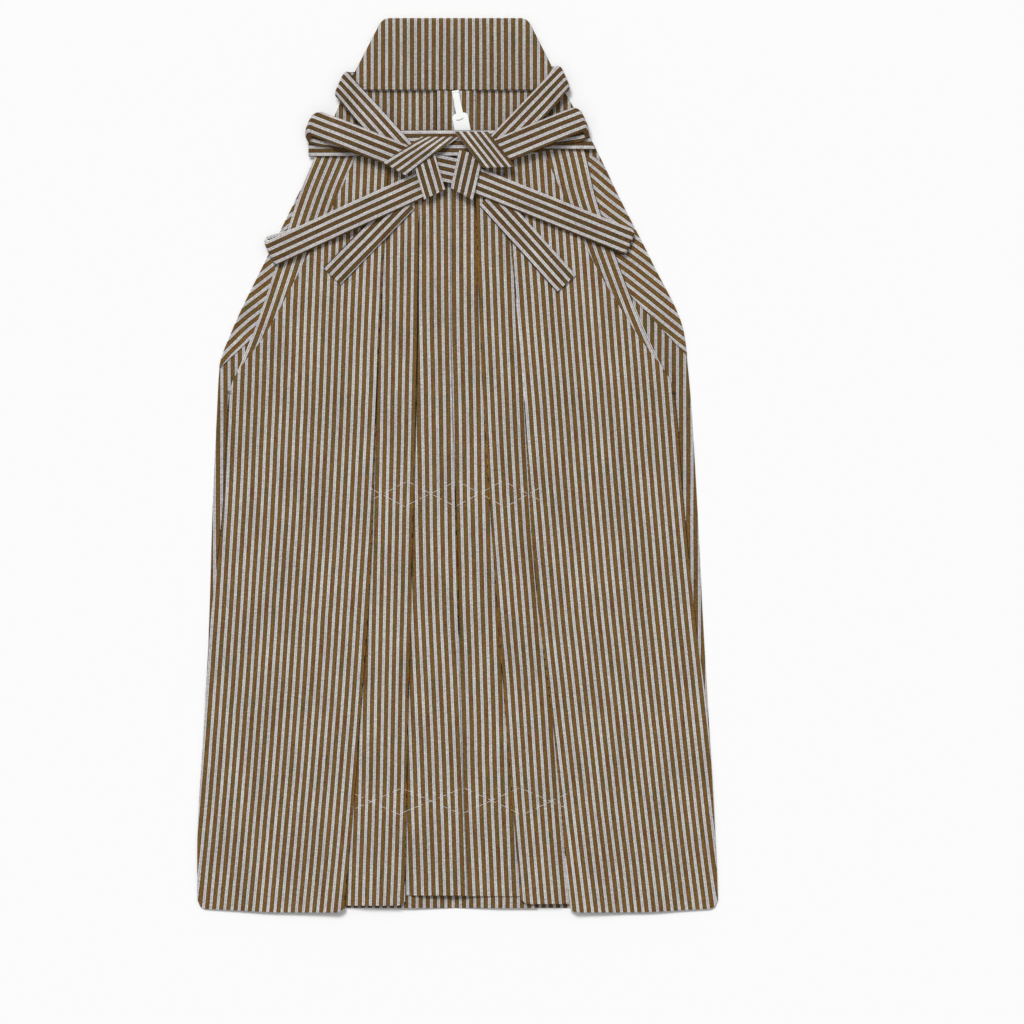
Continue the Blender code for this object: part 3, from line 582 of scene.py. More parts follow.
def crease_height(creases, x, y):
    """Height of the soft creases at a place: each one swells and dies away along its length."""
    height = 0.0
    for number, crease in enumerate(creases):
        x0, y0, x1, y1 = (value * MM for value in crease[:4])
        run = (x1 - x0, y1 - y0)
        length = math.hypot(*run)
        width = crease.width * MM
        along = ((x - x0) * run[0] + (y - y0) * run[1]) / length
        wander = CREASE_WANDER * width * np.sin(along / length * CREASE_BENDS + number)
        across = ((x - x0) * run[1] - (y - y0) * run[0]) / length + wander
        share = clamp(along / length)
        body = np.sin(math.pi * share) * (1 + CREASE_SWELL * np.sin(share * CREASE_SWELLS + 2 * number))
        height = height + crease.height * MM * body * np.exp(-(across / (width / 2)) ** 2)
    return height


def relief(x, y):
    """Small rise and fall of the pressed front: creases and a faint overall unevenness."""
    height = crease_height(FRONT_CREASES, x, y)
    for across, down, start in WAVES:
        height = height + WAVE_HEIGHT * np.sin(across * x + down * y + start)
    return height


def cloth_u(panel, x, y):
    """Distance across the stripes from a light stripe's centre, in cloth as woven."""
    return (x - stripe_curve[panel](y)) * PERIOD / (panel.pitch * MM)


class Graph:
    """Nodes of one material, with short calls for the sums in it."""

    def __init__(self, name):
        self.material = bpy.data.materials.new(name)
        self.material.use_nodes = True
        self.tree = self.material.node_tree
        self.shader = self.tree.nodes["Principled BSDF"]

    def set(self, socket, value):
        if isinstance(value, bpy.types.NodeSocket):
            self.tree.links.new(value, socket)
        elif isinstance(value, tuple) and len(value) == 3 and socket.type == "RGBA":
            socket.default_value = (*value, 1)
        else:
            socket.default_value = value

    def node(self, kind, inputs, output=0, **settings):
        """A new node's output, once its settings and its named or numbered inputs are set."""
        node = self.tree.nodes.new(kind)
        for key, value in settings.items():
            setattr(node, key, value)
        for key, value in inputs.items():
            self.set(node.inputs[key], value)
        return node.outputs[output]

    def maths(self, operation, *values):
        return self.node("ShaderNodeMath", dict(enumerate(values)), operation=operation)

    def plus(self, first, second):
        return self.maths("ADD", first, second)

    def minus(self, first, second):
        return self.maths("SUBTRACT", first, second)

    def times(self, first, second):
        return self.maths("MULTIPLY", first, second)

    def ramp(self, value, low, high):
        ends = {"Value": value, "From Min": low, "From Max": high}
        return self.node("ShaderNodeMapRange", ends, "Result", interpolation_type="SMOOTHSTEP")

    def within(self, distance, reach, soft):
        """1 where a distance is under reach, easing to 0 just past it."""
        return self.minus(1, self.ramp(distance, reach - soft, reach + soft))

    def mix(self, share, first, second):
        node = self.tree.nodes.new("ShaderNodeMix")
        node.data_type = "RGBA"
        self.set(node.inputs["Factor"], share)
        self.set(node.inputs["A"], first)
        self.set(node.inputs["B"], second)
        return node.outputs["Result"]

    def noise(self, vector, scale, detail):
        return self.node("ShaderNodeTexNoise", {"Vector": vector, "Scale": scale, "Detail": detail}, "Fac")

    def vector(self, x, y, z):
        return self.node("ShaderNodeCombineXYZ", {0: x, 1: y, 2: z})

    def cycle(self, value, length):
        """Distance from the middle of the nearest repeat, in repeats: 0 to 0.5."""
        wrapped = self.maths("FRACT", self.plus(self.maths("DIVIDE", value, length), 0.5))
        return self.maths("ABSOLUTE", self.minus(wrapped, 0.5))

    def bump(self, height, distance, strength):
        inputs = {"Strength": strength, "Distance": distance, "Height": height}
        self.set(self.shader.inputs["Normal"], self.node("ShaderNodeBump", inputs, "Normal"))


def silk(name, depth=1.0, lift=1.0, painted_shade_factor=1.0):
    """Ribbed silk: dark warp stripes crossed by gold ribs, pale stripes with an orange thread."""
    g = Graph(name)
    cloth = g.node("ShaderNodeAttribute", {}, "Vector", attribute_name="cloth")
    parts = g.tree.nodes.new("ShaderNodeSeparateXYZ")
    g.tree.links.new(cloth, parts.inputs[0])
    u, v, seed = parts.outputs

    def cloud(noise):
        return g.noise(g.vector(g.times(u, noise.across), g.times(v, noise.along), seed), 1.0, noise.detail)

    u = g.plus(u, g.times(g.minus(cloud(WAVER), 0.5), WAVER_REACH))
    distance = g.cycle(u, PERIOD)
    light = g.within(distance, LIGHT_HALF, EDGE_SOFT)
    thread = g.within(distance, THREAD_HALF, EDGE_SOFT)
    border = g.within(distance, LIGHT_HALF + BORDER, EDGE_SOFT)

    rib = g.cycle(v, RIB_PITCH)
    woven = g.times(g.within(rib, *RIB_SHARE), g.within(g.cycle(u, DOT_PITCH), *DOT_SHARE))
    gold_share = g.times(woven, g.minus(1, border))
    hue = cloud(STREAKS)
    gold = g.mix(g.ramp(hue, *RUST_RANGE), GOLD, RUST)
    gold = g.mix(g.ramp(hue, *OLIVE_RANGE), gold, OLIVE)
    dark = g.mix(g.times(gold_share, depth), BLACK, gold)

    wave = g.maths("SINE", g.times(u, 2 * math.pi / DOT_PITCH))
    pass_over = g.maths("SINE", g.times(v, 4 * math.pi / RIB_PITCH))
    specks = g.ramp(g.times(wave, pass_over), *SPECK_RANGE)
    pale = g.mix(g.ramp(cloud(TINT), *LILAC_RANGE), PALE, LILAC)
    pale = g.mix(g.times(specks, SPECK_STRENGTH / lift), pale, PALE_SHADE)
    pale = g.mix(g.times(thread, THREAD_STRENGTH), pale, ORANGE)

    shade = cloud(SHADE)
    worn = g.plus(g.times(g.ramp(shade, *WORN_RANGE), WORN_BY_SHADE),
                  g.times(g.ramp(cloud(GRAIN), *WORN_RANGE), WORN_BY_GRAIN))
    worn = g.plus(worn, g.times(g.ramp(cloud(SLUBS), *WORN_RANGE), WORN_BY_SLUBS))
    # A factor under one darkens this whole copy of the silk: painted shade.
    worn = g.times(g.plus(worn, WORN_LEAST), painted_shade_factor)
    colour = g.mix(light, dark, pale)
    worn_colour = g.node("ShaderNodeVectorMath", {0: colour, "Scale": worn}, operation="SCALE")
    g.set(g.shader.inputs["Base Color"], worn_colour)

    g.set(g.shader.inputs["Roughness"], g.plus(SILK_ROUGHNESS, g.times(light, PALE_ROUGHER)))
    g.shader.inputs["Specular IOR Level"].default_value = SILK_SPECULAR
    g.shader.inputs["Sheen Weight"].default_value = SILK_SHEEN
    g.shader.inputs["Sheen Roughness"].default_value = SHEEN_ROUGHNESS
    ribs = g.times(g.minus(0.5, rib), g.minus(1, light))
    fine = g.plus(ribs, g.times(specks, SPECK_BUMP))
    g.bump(g.plus(fine, g.times(shade, SHADE_BUMP)), *SILK_BUMP)
    return g.material


def plastic(name):
    """Smooth moulded plastic, faintly clouded."""
    g = Graph(name)
    place = g.node("ShaderNodeTexCoord", {}, "Object")
    cloud = g.noise(place, *PLASTIC_CLOUD)
    g.set(g.shader.inputs["Base Color"], g.mix(cloud, *PLASTIC_COLOURS))
    g.set(g.shader.inputs["Roughness"], g.plus(PLASTIC_ROUGHNESS, g.times(cloud, PLASTIC_ROUGHER)))
    g.bump(g.noise(place, *PLASTIC_GRAIN), *PLASTIC_BUMP)
    return g.material


def cotton(name, colour):
    """Twisted sewing thread."""
    g = Graph(name)
    twist = g.noise(g.node("ShaderNodeTexCoord", {}, "Object"), *TWIST)
    shaded = tuple(TWIST_SHADE * value for value in colour)
    g.set(g.shader.inputs["Base Color"], g.mix(twist, shaded, colour))
    g.shader.inputs["Roughness"].default_value = COTTON_ROUGHNESS
    g.bump(twist, *TWIST_BUMP)
    return g.material


def add_mesh(name, points, faces, cloth=None, material=None):
    """A new piece with its faces turned outward, soft edges smooth and its place in the cloth."""
    mesh = bpy.data.meshes.new(name)
    mesh.from_pydata(points.tolist(), [], faces)
    if cloth is not None:
        layer = mesh.attributes.new("cloth", "FLOAT_VECTOR", "POINT")
        layer.data.foreach_set("vector", np.asarray(cloth, np.float32).ravel())
    mesh.shade_smooth()
    mesh.set_sharp_from_angle(angle=SHARP_ANGLE)
    mesh.materials.append(material)
    item = bpy.data.objects.new(name, mesh)
    bpy.context.scene.collection.objects.link(item)
    shape = bmesh.new()
    shape.from_mesh(mesh)
    bmesh.ops.recalc_face_normals(shape, faces=shape.faces)
    shape.to_mesh(mesh)
    shape.free()
    return item


def tube_faces(rings, sides):
    """Faces of a tube whose points run ring by ring, with both its ends closed."""
    number = np.arange(rings * sides).reshape(rings, sides)
    after = np.roll(number, -1, axis=1)
    faces = np.stack([number[:-1], after[:-1], after[1:], number[1:]], -1).reshape(-1, 4)
    return faces.tolist() + [number[0][::-1].tolist(), number[-1].tolist()]


def section_normals(grid):
    """Unit normals in each row of a grid, square to the row and to the run of the rows."""
    ahead = np.diff(grid, axis=1)
    ahead /= np.maximum(np.linalg.norm(ahead, axis=2, keepdims=True), 1e-9)
    along = np.concatenate([ahead[:, :1], ahead[:, 1:] + ahead[:, :-1], ahead[:, -1:]], axis=1)
    along /= np.maximum(np.linalg.norm(along, axis=2, keepdims=True), 1e-9)
    return np.stack([-along[..., 2], np.zeros(along.shape[:2]), along[..., 0]], axis=2)


def shell(name, grid, cloth, normals, material):
    """Closed thin cloth about a grid of middle points, with a normal at each."""
    number = np.arange(grid.shape[0] * grid.shape[1]).reshape(grid.shape[:2])
    below = number + number.size
    a, b, c, d = number[:-1, :-1], number[:-1, 1:], number[1:, 1:], number[1:, :-1]
    upper = np.stack([a, b, c, d], -1).reshape(-1, 4)
    quads = [upper, upper[:, [0, 3, 2, 1]] + number.size]
    for line, turn in ((np.s_[:, 0], 1), (np.s_[:, -1], -1), (np.s_[0, :], -1), (np.s_[-1, :], 1)):
        over, under = number[line], below[line]
        rim = np.stack([over[:-1], over[1:], under[1:], under[:-1]], -1)
        quads.append(rim[:, ::turn])
    points = np.concatenate([(grid + normals * half).reshape(-1, 3) for half in (SHELL / 2, -SHELL / 2)])
    cloth = np.concatenate([cloth.reshape(-1, 3)] * 2)
    return add_mesh(name, points, np.concatenate(quads).tolist(), cloth, material)


def open_layers(openings, y):
    """How many layers a fold's edge stands open at a height."""
    layers = 0 * y
    for opening in openings:
        layers = layers + opening.layers * np.exp(-((y - opening.y * MM) / (opening.reach * MM)) ** 2)
    return layers


def panel_run(columns, panel, offset, y, ends, levels, hem, least, ease):
    """A flat stretch of a panel as columns, from the first end up to but without the second."""
    steps = max(least, round(float(np.max(abs(ends[1] - ends[0]))) / PANEL_GRAIN))
    for i in range(steps):
        place = blend(ends[0], ends[1], i / steps)
        level = blend(levels[0], levels[1], ease(i / steps))
        columns.append(Column(place, level, hem, cloth_u(panel, place, y) + offset, 0 * y))


def eased_start(share):
    return share ** EASED_POWER


def steepening(share):
    return share ** STEEP_POWER


def fold_arc(columns, edge, level, hem, u, sign, opened=0.0):
    """The round edge of a fold, from a level (or as far above it as it is open) down by one."""
    for k in range(FOLD_ARC + 1):
        turn = math.pi * k / FOLD_ARC
        height = level - 0.5 + opened / 2 + (0.5 + opened / 2) * math.cos(turn) + 0 * edge
        columns.append(Column(edge, height, hem, u, sign * math.sin(turn) + 0 * edge))


def front_leg_columns(side, y):
    """One leg's front from its outer edge to the centre, as columns of values for all rows."""
    if side == "right":
        sign, folds, faces = 1, (FOLD_A, FOLD_B, FOLD_C), (PANEL_1, PANEL_2, PANEL_3, None)
    else:
        sign, folds, faces = -1, (FOLD_E, FOLD_D), (PANEL_6, PANEL_5, PANEL_4)
    columns = []
    flat = 0 * y
    x = front_edge[side](y)
    level = edge_level(y) + open_layers(EDGE_OPENINGS[side], y)
    offset = 0.0
    for number, fold in enumerate(folds):
        panel, beneath = faces[number], faces[number + 1]
        edge = fold_curve[fold](y)
        depth = fold_depth(fold, y)
        inner = edge - sign * depth
        ease = smooth if number else eased_start
        opened = open_layers(FOLD_OPENINGS[fold], y)
        panel_run(columns, panel, offset, y, (x, inner), (level, 2), fold.hem, LEAST_STEPS, ease)
        panel_run(columns, panel, offset, y, (inner, edge), (2, 2 + opened), fold.hem,
                  EDGE_STEPS, steepening)
        u_edge = cloth_u(panel, edge, y) + offset
        fold_arc(columns, edge, 2, fold.hem, u_edge, sign, opened)
        shares = [i / UNDER_STEPS for i in range(1, UNDER_STEPS + 1)]
        if beneath is None:
            for share in shares:
                u = u_edge + sign * depth * share
                columns.append(Column(blend(edge, inner, share), 1 + flat, fold.hem, u, flat))
            break
        next_hem = folds[number + 1].hem if number + 1 < len(folds) else CENTRE_PANEL_HEM
        u_inner = cloth_u(beneath, inner, y)
        offset = round(float((u_edge + sign * depth - u_inner)[len(y) // 2]) / PERIOD) * PERIOD
        for share in shares[:-1]:
            hem = blend(fold.hem, next_hem, share)
            u = blend(u_edge, u_inner + offset, share)
            columns.append(Column(blend(edge, inner, share), 1 + flat, hem, u, flat))
        fold_arc(columns, inner, 1, next_hem, u_inner + offset, -sign)
        for share in shares[:-1]:
            place = blend(inner, edge, share)
            columns.append(Column(place, flat, next_hem, cloth_u(beneath, place, y) + offset, flat))
        x, level = edge, flat
    if side == "left":
        hidden = fold_curve[FOLD_C](y) - fold_depth(FOLD_C, y) + CENTRE_PANEL_INSET
        panel_run(columns, PANEL_4, offset, y, (x, hidden), (level, level), CENTRE_PANEL_HEM,
                  LEAST_STEPS, smooth)
        u = cloth_u(PANEL_4, hidden, y) + offset
        columns.append(Column(hidden, level, CENTRE_PANEL_HEM, u, flat))
    return columns


def hem_lift(distance, share):
    """How far a hem rises at a distance from its outer, rounded corner, as the hem is neared."""
    inside = np.maximum(HEM_CORNER - distance, 0)
    rise = HEM_CORNER - np.sqrt(HEM_CORNER ** 2 - inside ** 2)
    rise = rise + HEM_SLOPE * (1 - smooth(distance / HEM_SLOPE_REACH))
    return rise * smooth((share - HEM_CORNER_START) / (1 - HEM_CORNER_START))


def fold_corner_lift(distance, share):
    """How far the hem rises beside a fold's edge, which gives the panel a soft corner."""
    rise = FOLD_CORNER_RISE * clamp(1 - distance / FOLD_CORNER) ** 2
    return rise * smooth((share - HEM_CORNER_START) / (1 - HEM_CORNER_START))


def row_heights(top, bottom, step, fine_from):
    """Rows from top to bottom, closer together past fine_from."""
    coarse = np.linspace(top, fine_from, round((top - fine_from) / step) + 1)
    fine = np.linspace(fine_from, bottom, round((fine_from - bottom) / FINE_STEP) + 1)
    return np.concatenate([coarse, fine[1:]])


def place_piece(item, slot, *nodes):
    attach(item, "root")
    if nodes:
        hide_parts(*nodes)


def cloth_piece(name, node, points, cloth, material, **declared):
    """Cloth through columns of points as a thin closed shell, which hides the part of the model it
    replaces.
    """
    grid = np.stack(points, 1)
    item = shell(name, grid, np.stack(cloth, 1), section_normals(grid), material)
    place_piece(item, "striped_silk", node)
    return item


def front_leg(side, material):
    y = row_heights(PLEAT_TOP_Y, HEM_Y, ROW_STEP, FRONT_FINE_Y)
    share = (PLEAT_TOP_Y - y) / (PLEAT_TOP_Y - HEM_Y)
    outer_hem = front_edge[side](HEM_Y)
    folds = (FOLD_A, FOLD_B) if side == "right" else (FOLD_E, FOLD_D)
    points = []
    cloth = []
    for column in front_leg_columns(side, y):
        x = column.x + column.bulge * LAYER / 2
        drop = blend(PLEAT_TOP_Y, column.hem * MM, share) + hem_lift(abs(column.x - outer_hem), share)
        for fold in folds:
            if column.hem == fold.hem:
                drop = drop + fold_corner_lift(abs(column.x - fold_curve[fold](y)), share)
        z = bed(column.x, y) + column.level * LAYER + SHELL / 2 + relief(column.x, y)
        points.append(xyz(x, drop, z))
        cloth.append(xyz(column.u, -drop, 1))
    return cloth_piece(f"front_{side}_leg_cloth", f"front_{side}_leg", points, cloth, material,
                       held="folded", rests_on=[f"back_{side}_leg_cloth"])


def leaf_pleat(side, material):
    """Leaf-shaped lower layer of the pleat beside a side opening, narrowing to the stop."""
    sign = 1 if side == "right" else -1
    first_fold = FOLD_A if side == "right" else FOLD_E
    y = row_heights(PLEAT_TOP_Y, LEAF_END_Y, ROW_STEP, LEAF_FINE_Y)
    outer = opening_edge[side](y)
    fold = front_edge[side](y)
    under = blend(LEAF_LEAST, LEAF_UNDERLAP, clamp((y - STOP_Y) / (WAIST_Y - STOP_Y)))
    room = abs(fold_curve[first_fold](y) - fold) - fold_depth(first_fold, y) - LEAF_CLEARANCE
    hidden = fold + sign * np.minimum(under, room)
    points = []
    cloth = []
    for i in range(LEAF_STEPS + 1):
        x = blend(outer, hidden, i / LEAF_STEPS)
        points.append(xyz(x, y, bed(x, y) + SHELL / 2 + relief(x, y)))
        u = (x - outer) * LEAF_STRIPE_COS - sign * LEAF_FIRST_STRIPE[side]
        cloth.append(xyz(u, -y, 2))
    return cloth_piece(f"front_{side}_leaf_cloth", f"front_{side}_leaf_pleat", points, cloth, material,
                       held="folded", rests_on=[f"back_{side}_turn_in_cloth"])


def back_leg_columns(side, y):
    """Section of one leg's back from its outer edge to the centre seam."""
    sign = 1 if side == "right" else -1
    edge = CENTRE_X - sign * back_fold(y)
    inner = edge - sign * back_depth(y)
    near = edge - sign * BACK_SAG_INSET
    seam = CENTRE_X - sign * GAP / 2
    middle = blend(edge, seam, 0.5)
    sag = smooth((back_fold(y) - BACK_SAG_START) / BACK_SAG_RANGE)
    half_sunk, sunk = blend(2, 1, sag), blend(2, 0, sag)
    columns = []

    def lay(start, end, levels, numbers, steps, turned=False):
        for i in numbers:
            place = blend(start, end, i / steps)
            u = 2 * edge - place if turned else place
            columns.append(Column(place, blend(*levels, i / steps) + 0 * y, 0, u - CENTRE_X, 0 * y))

    def arc(place, low, way):
        for k in range(FOLD_ARC + 1):
            turn = math.pi * k / FOLD_ARC
            level = low + 0.5 - 0.5 * math.cos(turn) + 0 * y
            columns.append(Column(place, level, 0, place - CENTRE_X, way * math.sin(turn) + 0 * y))

    lay(back_edge[side](y), inner, (0, 0), range(BACK_STEPS), BACK_STEPS)
    lay(inner, edge, (0, 0), range(BACK_FOLD_STEPS), BACK_FOLD_STEPS)
    arc(edge, 0, sign)
    lay(edge, inner, (1, 1), range(1, BACK_FOLD_STEPS), BACK_FOLD_STEPS, turned=True)
    arc(inner, 1, -sign)
    lay(inner, near, (2, 2), range(1, BACK_TOP_STEPS + 1), BACK_TOP_STEPS)
    lay(near, middle, (2, half_sunk), range(1, BACK_SAG_STEPS + 1), BACK_SAG_STEPS)
    lay(middle, seam, (half_sunk, sunk), range(1, BACK_SAG_STEPS + 1), BACK_SAG_STEPS)
    return columns


def back_leg(side, material):
    y = row_heights(BACK_TOP_Y, BACK_HEM_Y, BACK_ROW_STEP, BACK_FINE_Y)
    share = (BACK_TOP_Y - y) / (BACK_TOP_Y - BACK_HEM_Y)
    outer_hem = back_edge[side](BACK_HEM_Y)
    points = []
    cloth = []
    for column in back_leg_columns(side, y):
        lifted = y + hem_lift(abs(column.x - outer_hem), share)
        z = column.level * LAYER + SHELL / 2 + crease_height(BACK_CREASES, column.x, y)
        points.append(xyz(column.x + column.bulge * LAYER / 2, lifted, z))
        cloth.append(xyz(column.u + BACK_STRIPE_SHIFT, -lifted, 3))
    return cloth_piece(f"back_{side}_leg_cloth", f"back_{side}_leg", points, cloth, material, held="laid")


def unfolded_cloth(side, grid):
    """Where the turned-in side lies in the back's own cloth: its mirror image over the fold."""
    ends = (TURN_IN_BOTTOM[side] - TURN_IN_TRACE, TURN_IN_TOP[side] + TURN_IN_TRACE)
    edge_y = np.linspace(*ends, TURN_IN_POINTS)
    bend_y = TURN_IN_STRAIGHT[side]
    slope = (back_edge[side](bend_y + MM) - back_edge[side](bend_y)) / MM
    straight = back_edge[side](bend_y) - slope * (bend_y - edge_y)
    edge = np.stack([np.where(edge_y < bend_y, straight, back_edge[side](edge_y)), edge_y], -1)
    places = grid[..., :2].reshape(-1, 2)
    nearest = np.array([edge[np.argmin(((edge - place) ** 2).sum(axis=1))] for place in places])
    unfolded = (2 * nearest - places).reshape(grid.shape[:2] + (2,))
    return xyz(unfolded[..., 0] - CENTRE_X + BACK_STRIPE_SHIFT, -unfolded[..., 1], 4)


def turn_in(side, material):
    """Side of the back turned in over itself along the side opening, cut along its own edge."""
    sign = 1 if side == "right" else -1
    along = np.array([math.cos(TURN_IN_ANGLE[side]), math.sin(TURN_IN_ANGLE[side])])
    share = np.linspace(0, 1, TURN_IN_ROWS)
    y = blend(TURN_IN_BOTTOM[side], TURN_IN_TOP[side], share)
    start = np.stack([back_edge[side](y) + sign * TURN_IN_INSET, y], -1)
    width = np.minimum(blend(*TURN_IN_WIDTH[side], share), (TURN_IN_CEILING - y) / along[1])
    level = LAYER + SHELL / 2
    points = []
    for k in range(TURN_IN_ARC_STEPS + 1):
        turn = 2 * math.pi * blend(*TURN_IN_ARC, k / TURN_IN_ARC_STEPS)
        x = start[:, 0] - sign * TURN_IN_BULGE * math.sin(turn)
        points.append(xyz(x, y, level - TURN_IN_FALL * (1 + math.cos(turn))))
    for i in range(1, TURN_IN_STEPS + 1):
        place = start + along * (width * i / TURN_IN_STEPS)[:, None]
        points.append(xyz(place[:, 0], place[:, 1], level))
    grid = np.stack(points, 1)[::-1]
    cloth = unfolded_cloth(side, grid)
    item = shell(f"back_{side}_turn_in_cloth", grid, cloth, section_normals(grid), material)
    place_piece(item, "striped_silk", f"back_{side}_turn_in")


def band_lower(x):
    """Height on the garment of the band's lower edge."""
    return WAIST_Y - BAND_WIDTH + BAND_NARROWING * smooth((x - BAND_NARROW_START) / BAND_NARROW_RANGE)


def band_slant(x, y):
    """How far the band's rows have shifted sideways at a place below the waist."""
    return BAND_SLANT * (WAIST_Y - y) * smooth((x - BAND_SLANT_START) / BAND_SLANT_RANGE)


def band_heights(x):
    """Middle heights of the band's inner and outer side at a place along the waist."""
    low = bed(x, WAIST_Y) - LAYER + WALL / 2
    lower_y = WAIST_Y - BAND_WIDTH
    side = "right" if x < CENTRE_X else "left"
    high = bed(x, lower_y) + (top_level(x, lower_y) + 1) * LAYER + WALL / 2
    opening = opening_edge[side](WAIST_Y - BAND_WIDTH / 2)
    beyond = abs(x - CENTRE_X) - abs(opening - CENTRE_X)
    fall = smooth(beyond / BAND_END_FALL + 0.5)
    return low, blend(high, low + 2 * LAYER, fall)


def waistband(material):
    """Band folded over the pleats' top edge: inner side, rounded top and outer side."""
    points = []
    cloth = []
    for x in np.linspace(BAND_ENDS[0], BAND_ENDS[1], BAND_ROWS):
        low, high = band_heights(x)
        outer_y = band_lower(x)
        inner_y = outer_y + BAND_WIDTH - BAND_INNER_WIDTH
        radius = (high - low) / 2
        depth = min(radius, BAND_ROUNDING)
        top = WAIST_Y - WALL / 2
        line = [(blend(inner_y, top - depth, i / BAND_INNER_STEPS), low) for i in range(BAND_INNER_STEPS)]
        for k in range(BAND_TURNS + 1):
            turn = math.pi * k / BAND_TURNS
            line.append((top - depth * (1 - math.sin(turn)), low + radius * (1 - math.cos(turn))))
        for i in range(1, BAND_OUTER_STEPS + 1):
            line.append((blend(top - depth, outer_y, i / BAND_OUTER_STEPS), high))
        runs = np.linalg.norm(np.diff(line, axis=0), axis=1)
        values = np.concatenate([[0], np.cumsum(runs)])
        points.append([(x + band_slant(x, y), y, z) for y, z in line])
        first = values[BAND_TURNS + BAND_INNER_STEPS] + BAND_WIDTH - depth - WALL / 2 + BAND_FIRST_STRIPE
        cloth.append(xyz(first - values, x, 5))
    grid = np.array(points)
    flat = section_normals(xyz(grid[..., 1], 0, grid[..., 2]))
    normals = xyz(0, flat[..., 0], flat[..., 2])
    item = shell("front_waistband_cloth", grid, np.array(cloth), normals, material)
    place_piece(item, "tie_silk", "front_waistband")


def rounded(corners, steps):
    """Outline through corners (x, y, radius), each replaced by a curve that starts radius from it."""
    outline = []
    count = len(corners)
    for i, (x, y, radius) in enumerate(corners):
        here = Vector((x, y))
        if radius == 0:
            outline.append((x, y))
            continue
        before = Vector(corners[i - 1][:2])
        after = Vector(corners[(i + 1) % count][:2])
        start = here + (before - here).normalized() * radius
        end = here + (after - here).normalized() * radius
        for k in range(steps + 1):
            t = k / steps
            point = start * (1 - t) ** 2 + here * 2 * t * (1 - t) + end * t ** 2
            outline.append((point.x, point.y))
    return outline


def spaced(outline, step):
    """The same outline with points added so that none are further apart than step."""
    points = []
    for i, here in enumerate(outline):
        after = outline[(i + 1) % len(outline)]
        length = math.dist(here, after)
        count = max(1, round(length / step))
        for k in range(count):
            points.append((blend(here[0], after[0], k / count), blend(here[1], after[1], k / count)))
    return np.array(points)


def slab(name, outline, z_low, thickness, edge, crown, material, cloth_shift=0.0):
    """Flat piece with the given outline, its edges rounded over and its top slightly full."""
    outline = np.array(outline)
    after = np.roll(outline, -1, axis=0)
    run = after - np.roll(outline, 1, axis=0)
    outward = np.stack([run[:, 1], -run[:, 0]], -1)
    outward /= np.linalg.norm(outward, axis=1, keepdims=True)
    if np.sum(outline[:, 0] * after[:, 1] - after[:, 0] * outline[:, 1]) < 0:
        outline, outward = outline[::-1], -outward[::-1]
    lower = []
    upper = []
    for k in range(SLAB_TURNS + 1):
        turn = math.pi / 2 * k / SLAB_TURNS
        rise, fall = edge * (1 - math.cos(turn)), edge * (1 - math.sin(turn))
        lower.append((fall, z_low + rise, edge * math.cos(turn) + thickness))
        upper.append((rise, z_low + thickness - fall, fall))
    points = []
    cloth = []
    for inset, z, shift in lower + upper:
        place = outline - outward * inset
        points.append(xyz(place[:, 0], place[:, 1], z))
        place = place + outward * shift
        cloth.append(xyz(place[:, 0] + cloth_shift, -place[:, 1], 6))
    for share in SLAB_RINGS:
        place = blend(outline.mean(axis=0), outline - outward * edge, share)
        points.append(xyz(place[:, 0], place[:, 1], z_low + thickness + crown * (1 - share ** 2)))
        cloth.append(xyz(place[:, 0] + cloth_shift, -place[:, 1], 6))
    faces = tube_faces(len(points), len(outline))
    return add_mesh(name, np.concatenate(points), faces, np.concatenate(cloth), material)


def back_board(material):
    corners = (
        (BOARD_BOTTOM[0], BOARD_BOTTOM_Y, 0),
        (BOARD_BOTTOM[1], BOARD_BOTTOM_Y, 0),
        (BOARD_TOP[1], BOARD_TOP_Y, BOARD_CORNER),
        (BOARD_TOP[0], BOARD_TOP_Y, BOARD_CORNER),
    )
    outline = spaced(rounded(corners, CORNER_STEPS), BOARD_SPACING)
    item = slab("back_board_cover", outline, 0, BOARD_THICKNESS, BOARD_ROUNDING, BOARD_CROWN, material,
                BOARD_STRIPE_SHIFT)
    place_piece(item, "striped_silk", "back_board")


def spatula_outline():
    """Flat tongue: a narrow neck, round shoulders and a broad body with a round end."""
    neck = SPATULA_NECK / 2
    body = SPATULA_BODY / 2
    shoulder = SPATULA_NECK_LENGTH
    half = [(neck, 0), (neck * NECK_WAIST, -shoulder / 2), (neck, -shoulder)]
    for k in range(CORNER_STEPS):
        turn = math.radians(90 * (k + 1) / CORNER_STEPS)
        half.append((blend(neck, body, math.sin(turn)), -shoulder - (body - neck) * (1 - math.cos(turn))))
    end_centre = -(SPATULA_LENGTH - body)
    for k in range(CORNER_STEPS + 1):
        turn = math.radians(90 * k / CORNER_STEPS)
        half.append((body * math.cos(turn), end_centre - body * math.sin(turn)))
    return half + [(-x, y) for x, y in reversed(half[:-1])]


def leaned(x, y):
    across = x * math.cos(SPATULA_LEAN) - y * math.sin(SPATULA_LEAN)
    down = x * math.sin(SPATULA_LEAN) + y * math.cos(SPATULA_LEAN)
    return SPATULA_TOP[0] + across, SPATULA_TOP[1] + down


def stitch(start, end, surface, steps=STITCH_STEPS):
    """One stitch between two places, its ends dipping into the surface."""
    path = []
    for k in range(steps + 1):
        x = blend(start[0], end[0], k / steps)
        y = blend(start[1], end[1], k / steps)
        dip = THREAD_DIP if k in (0, steps) else 0
        path.append((x, y, surface(x, y) + THREAD_LIFT - dip))
    return path


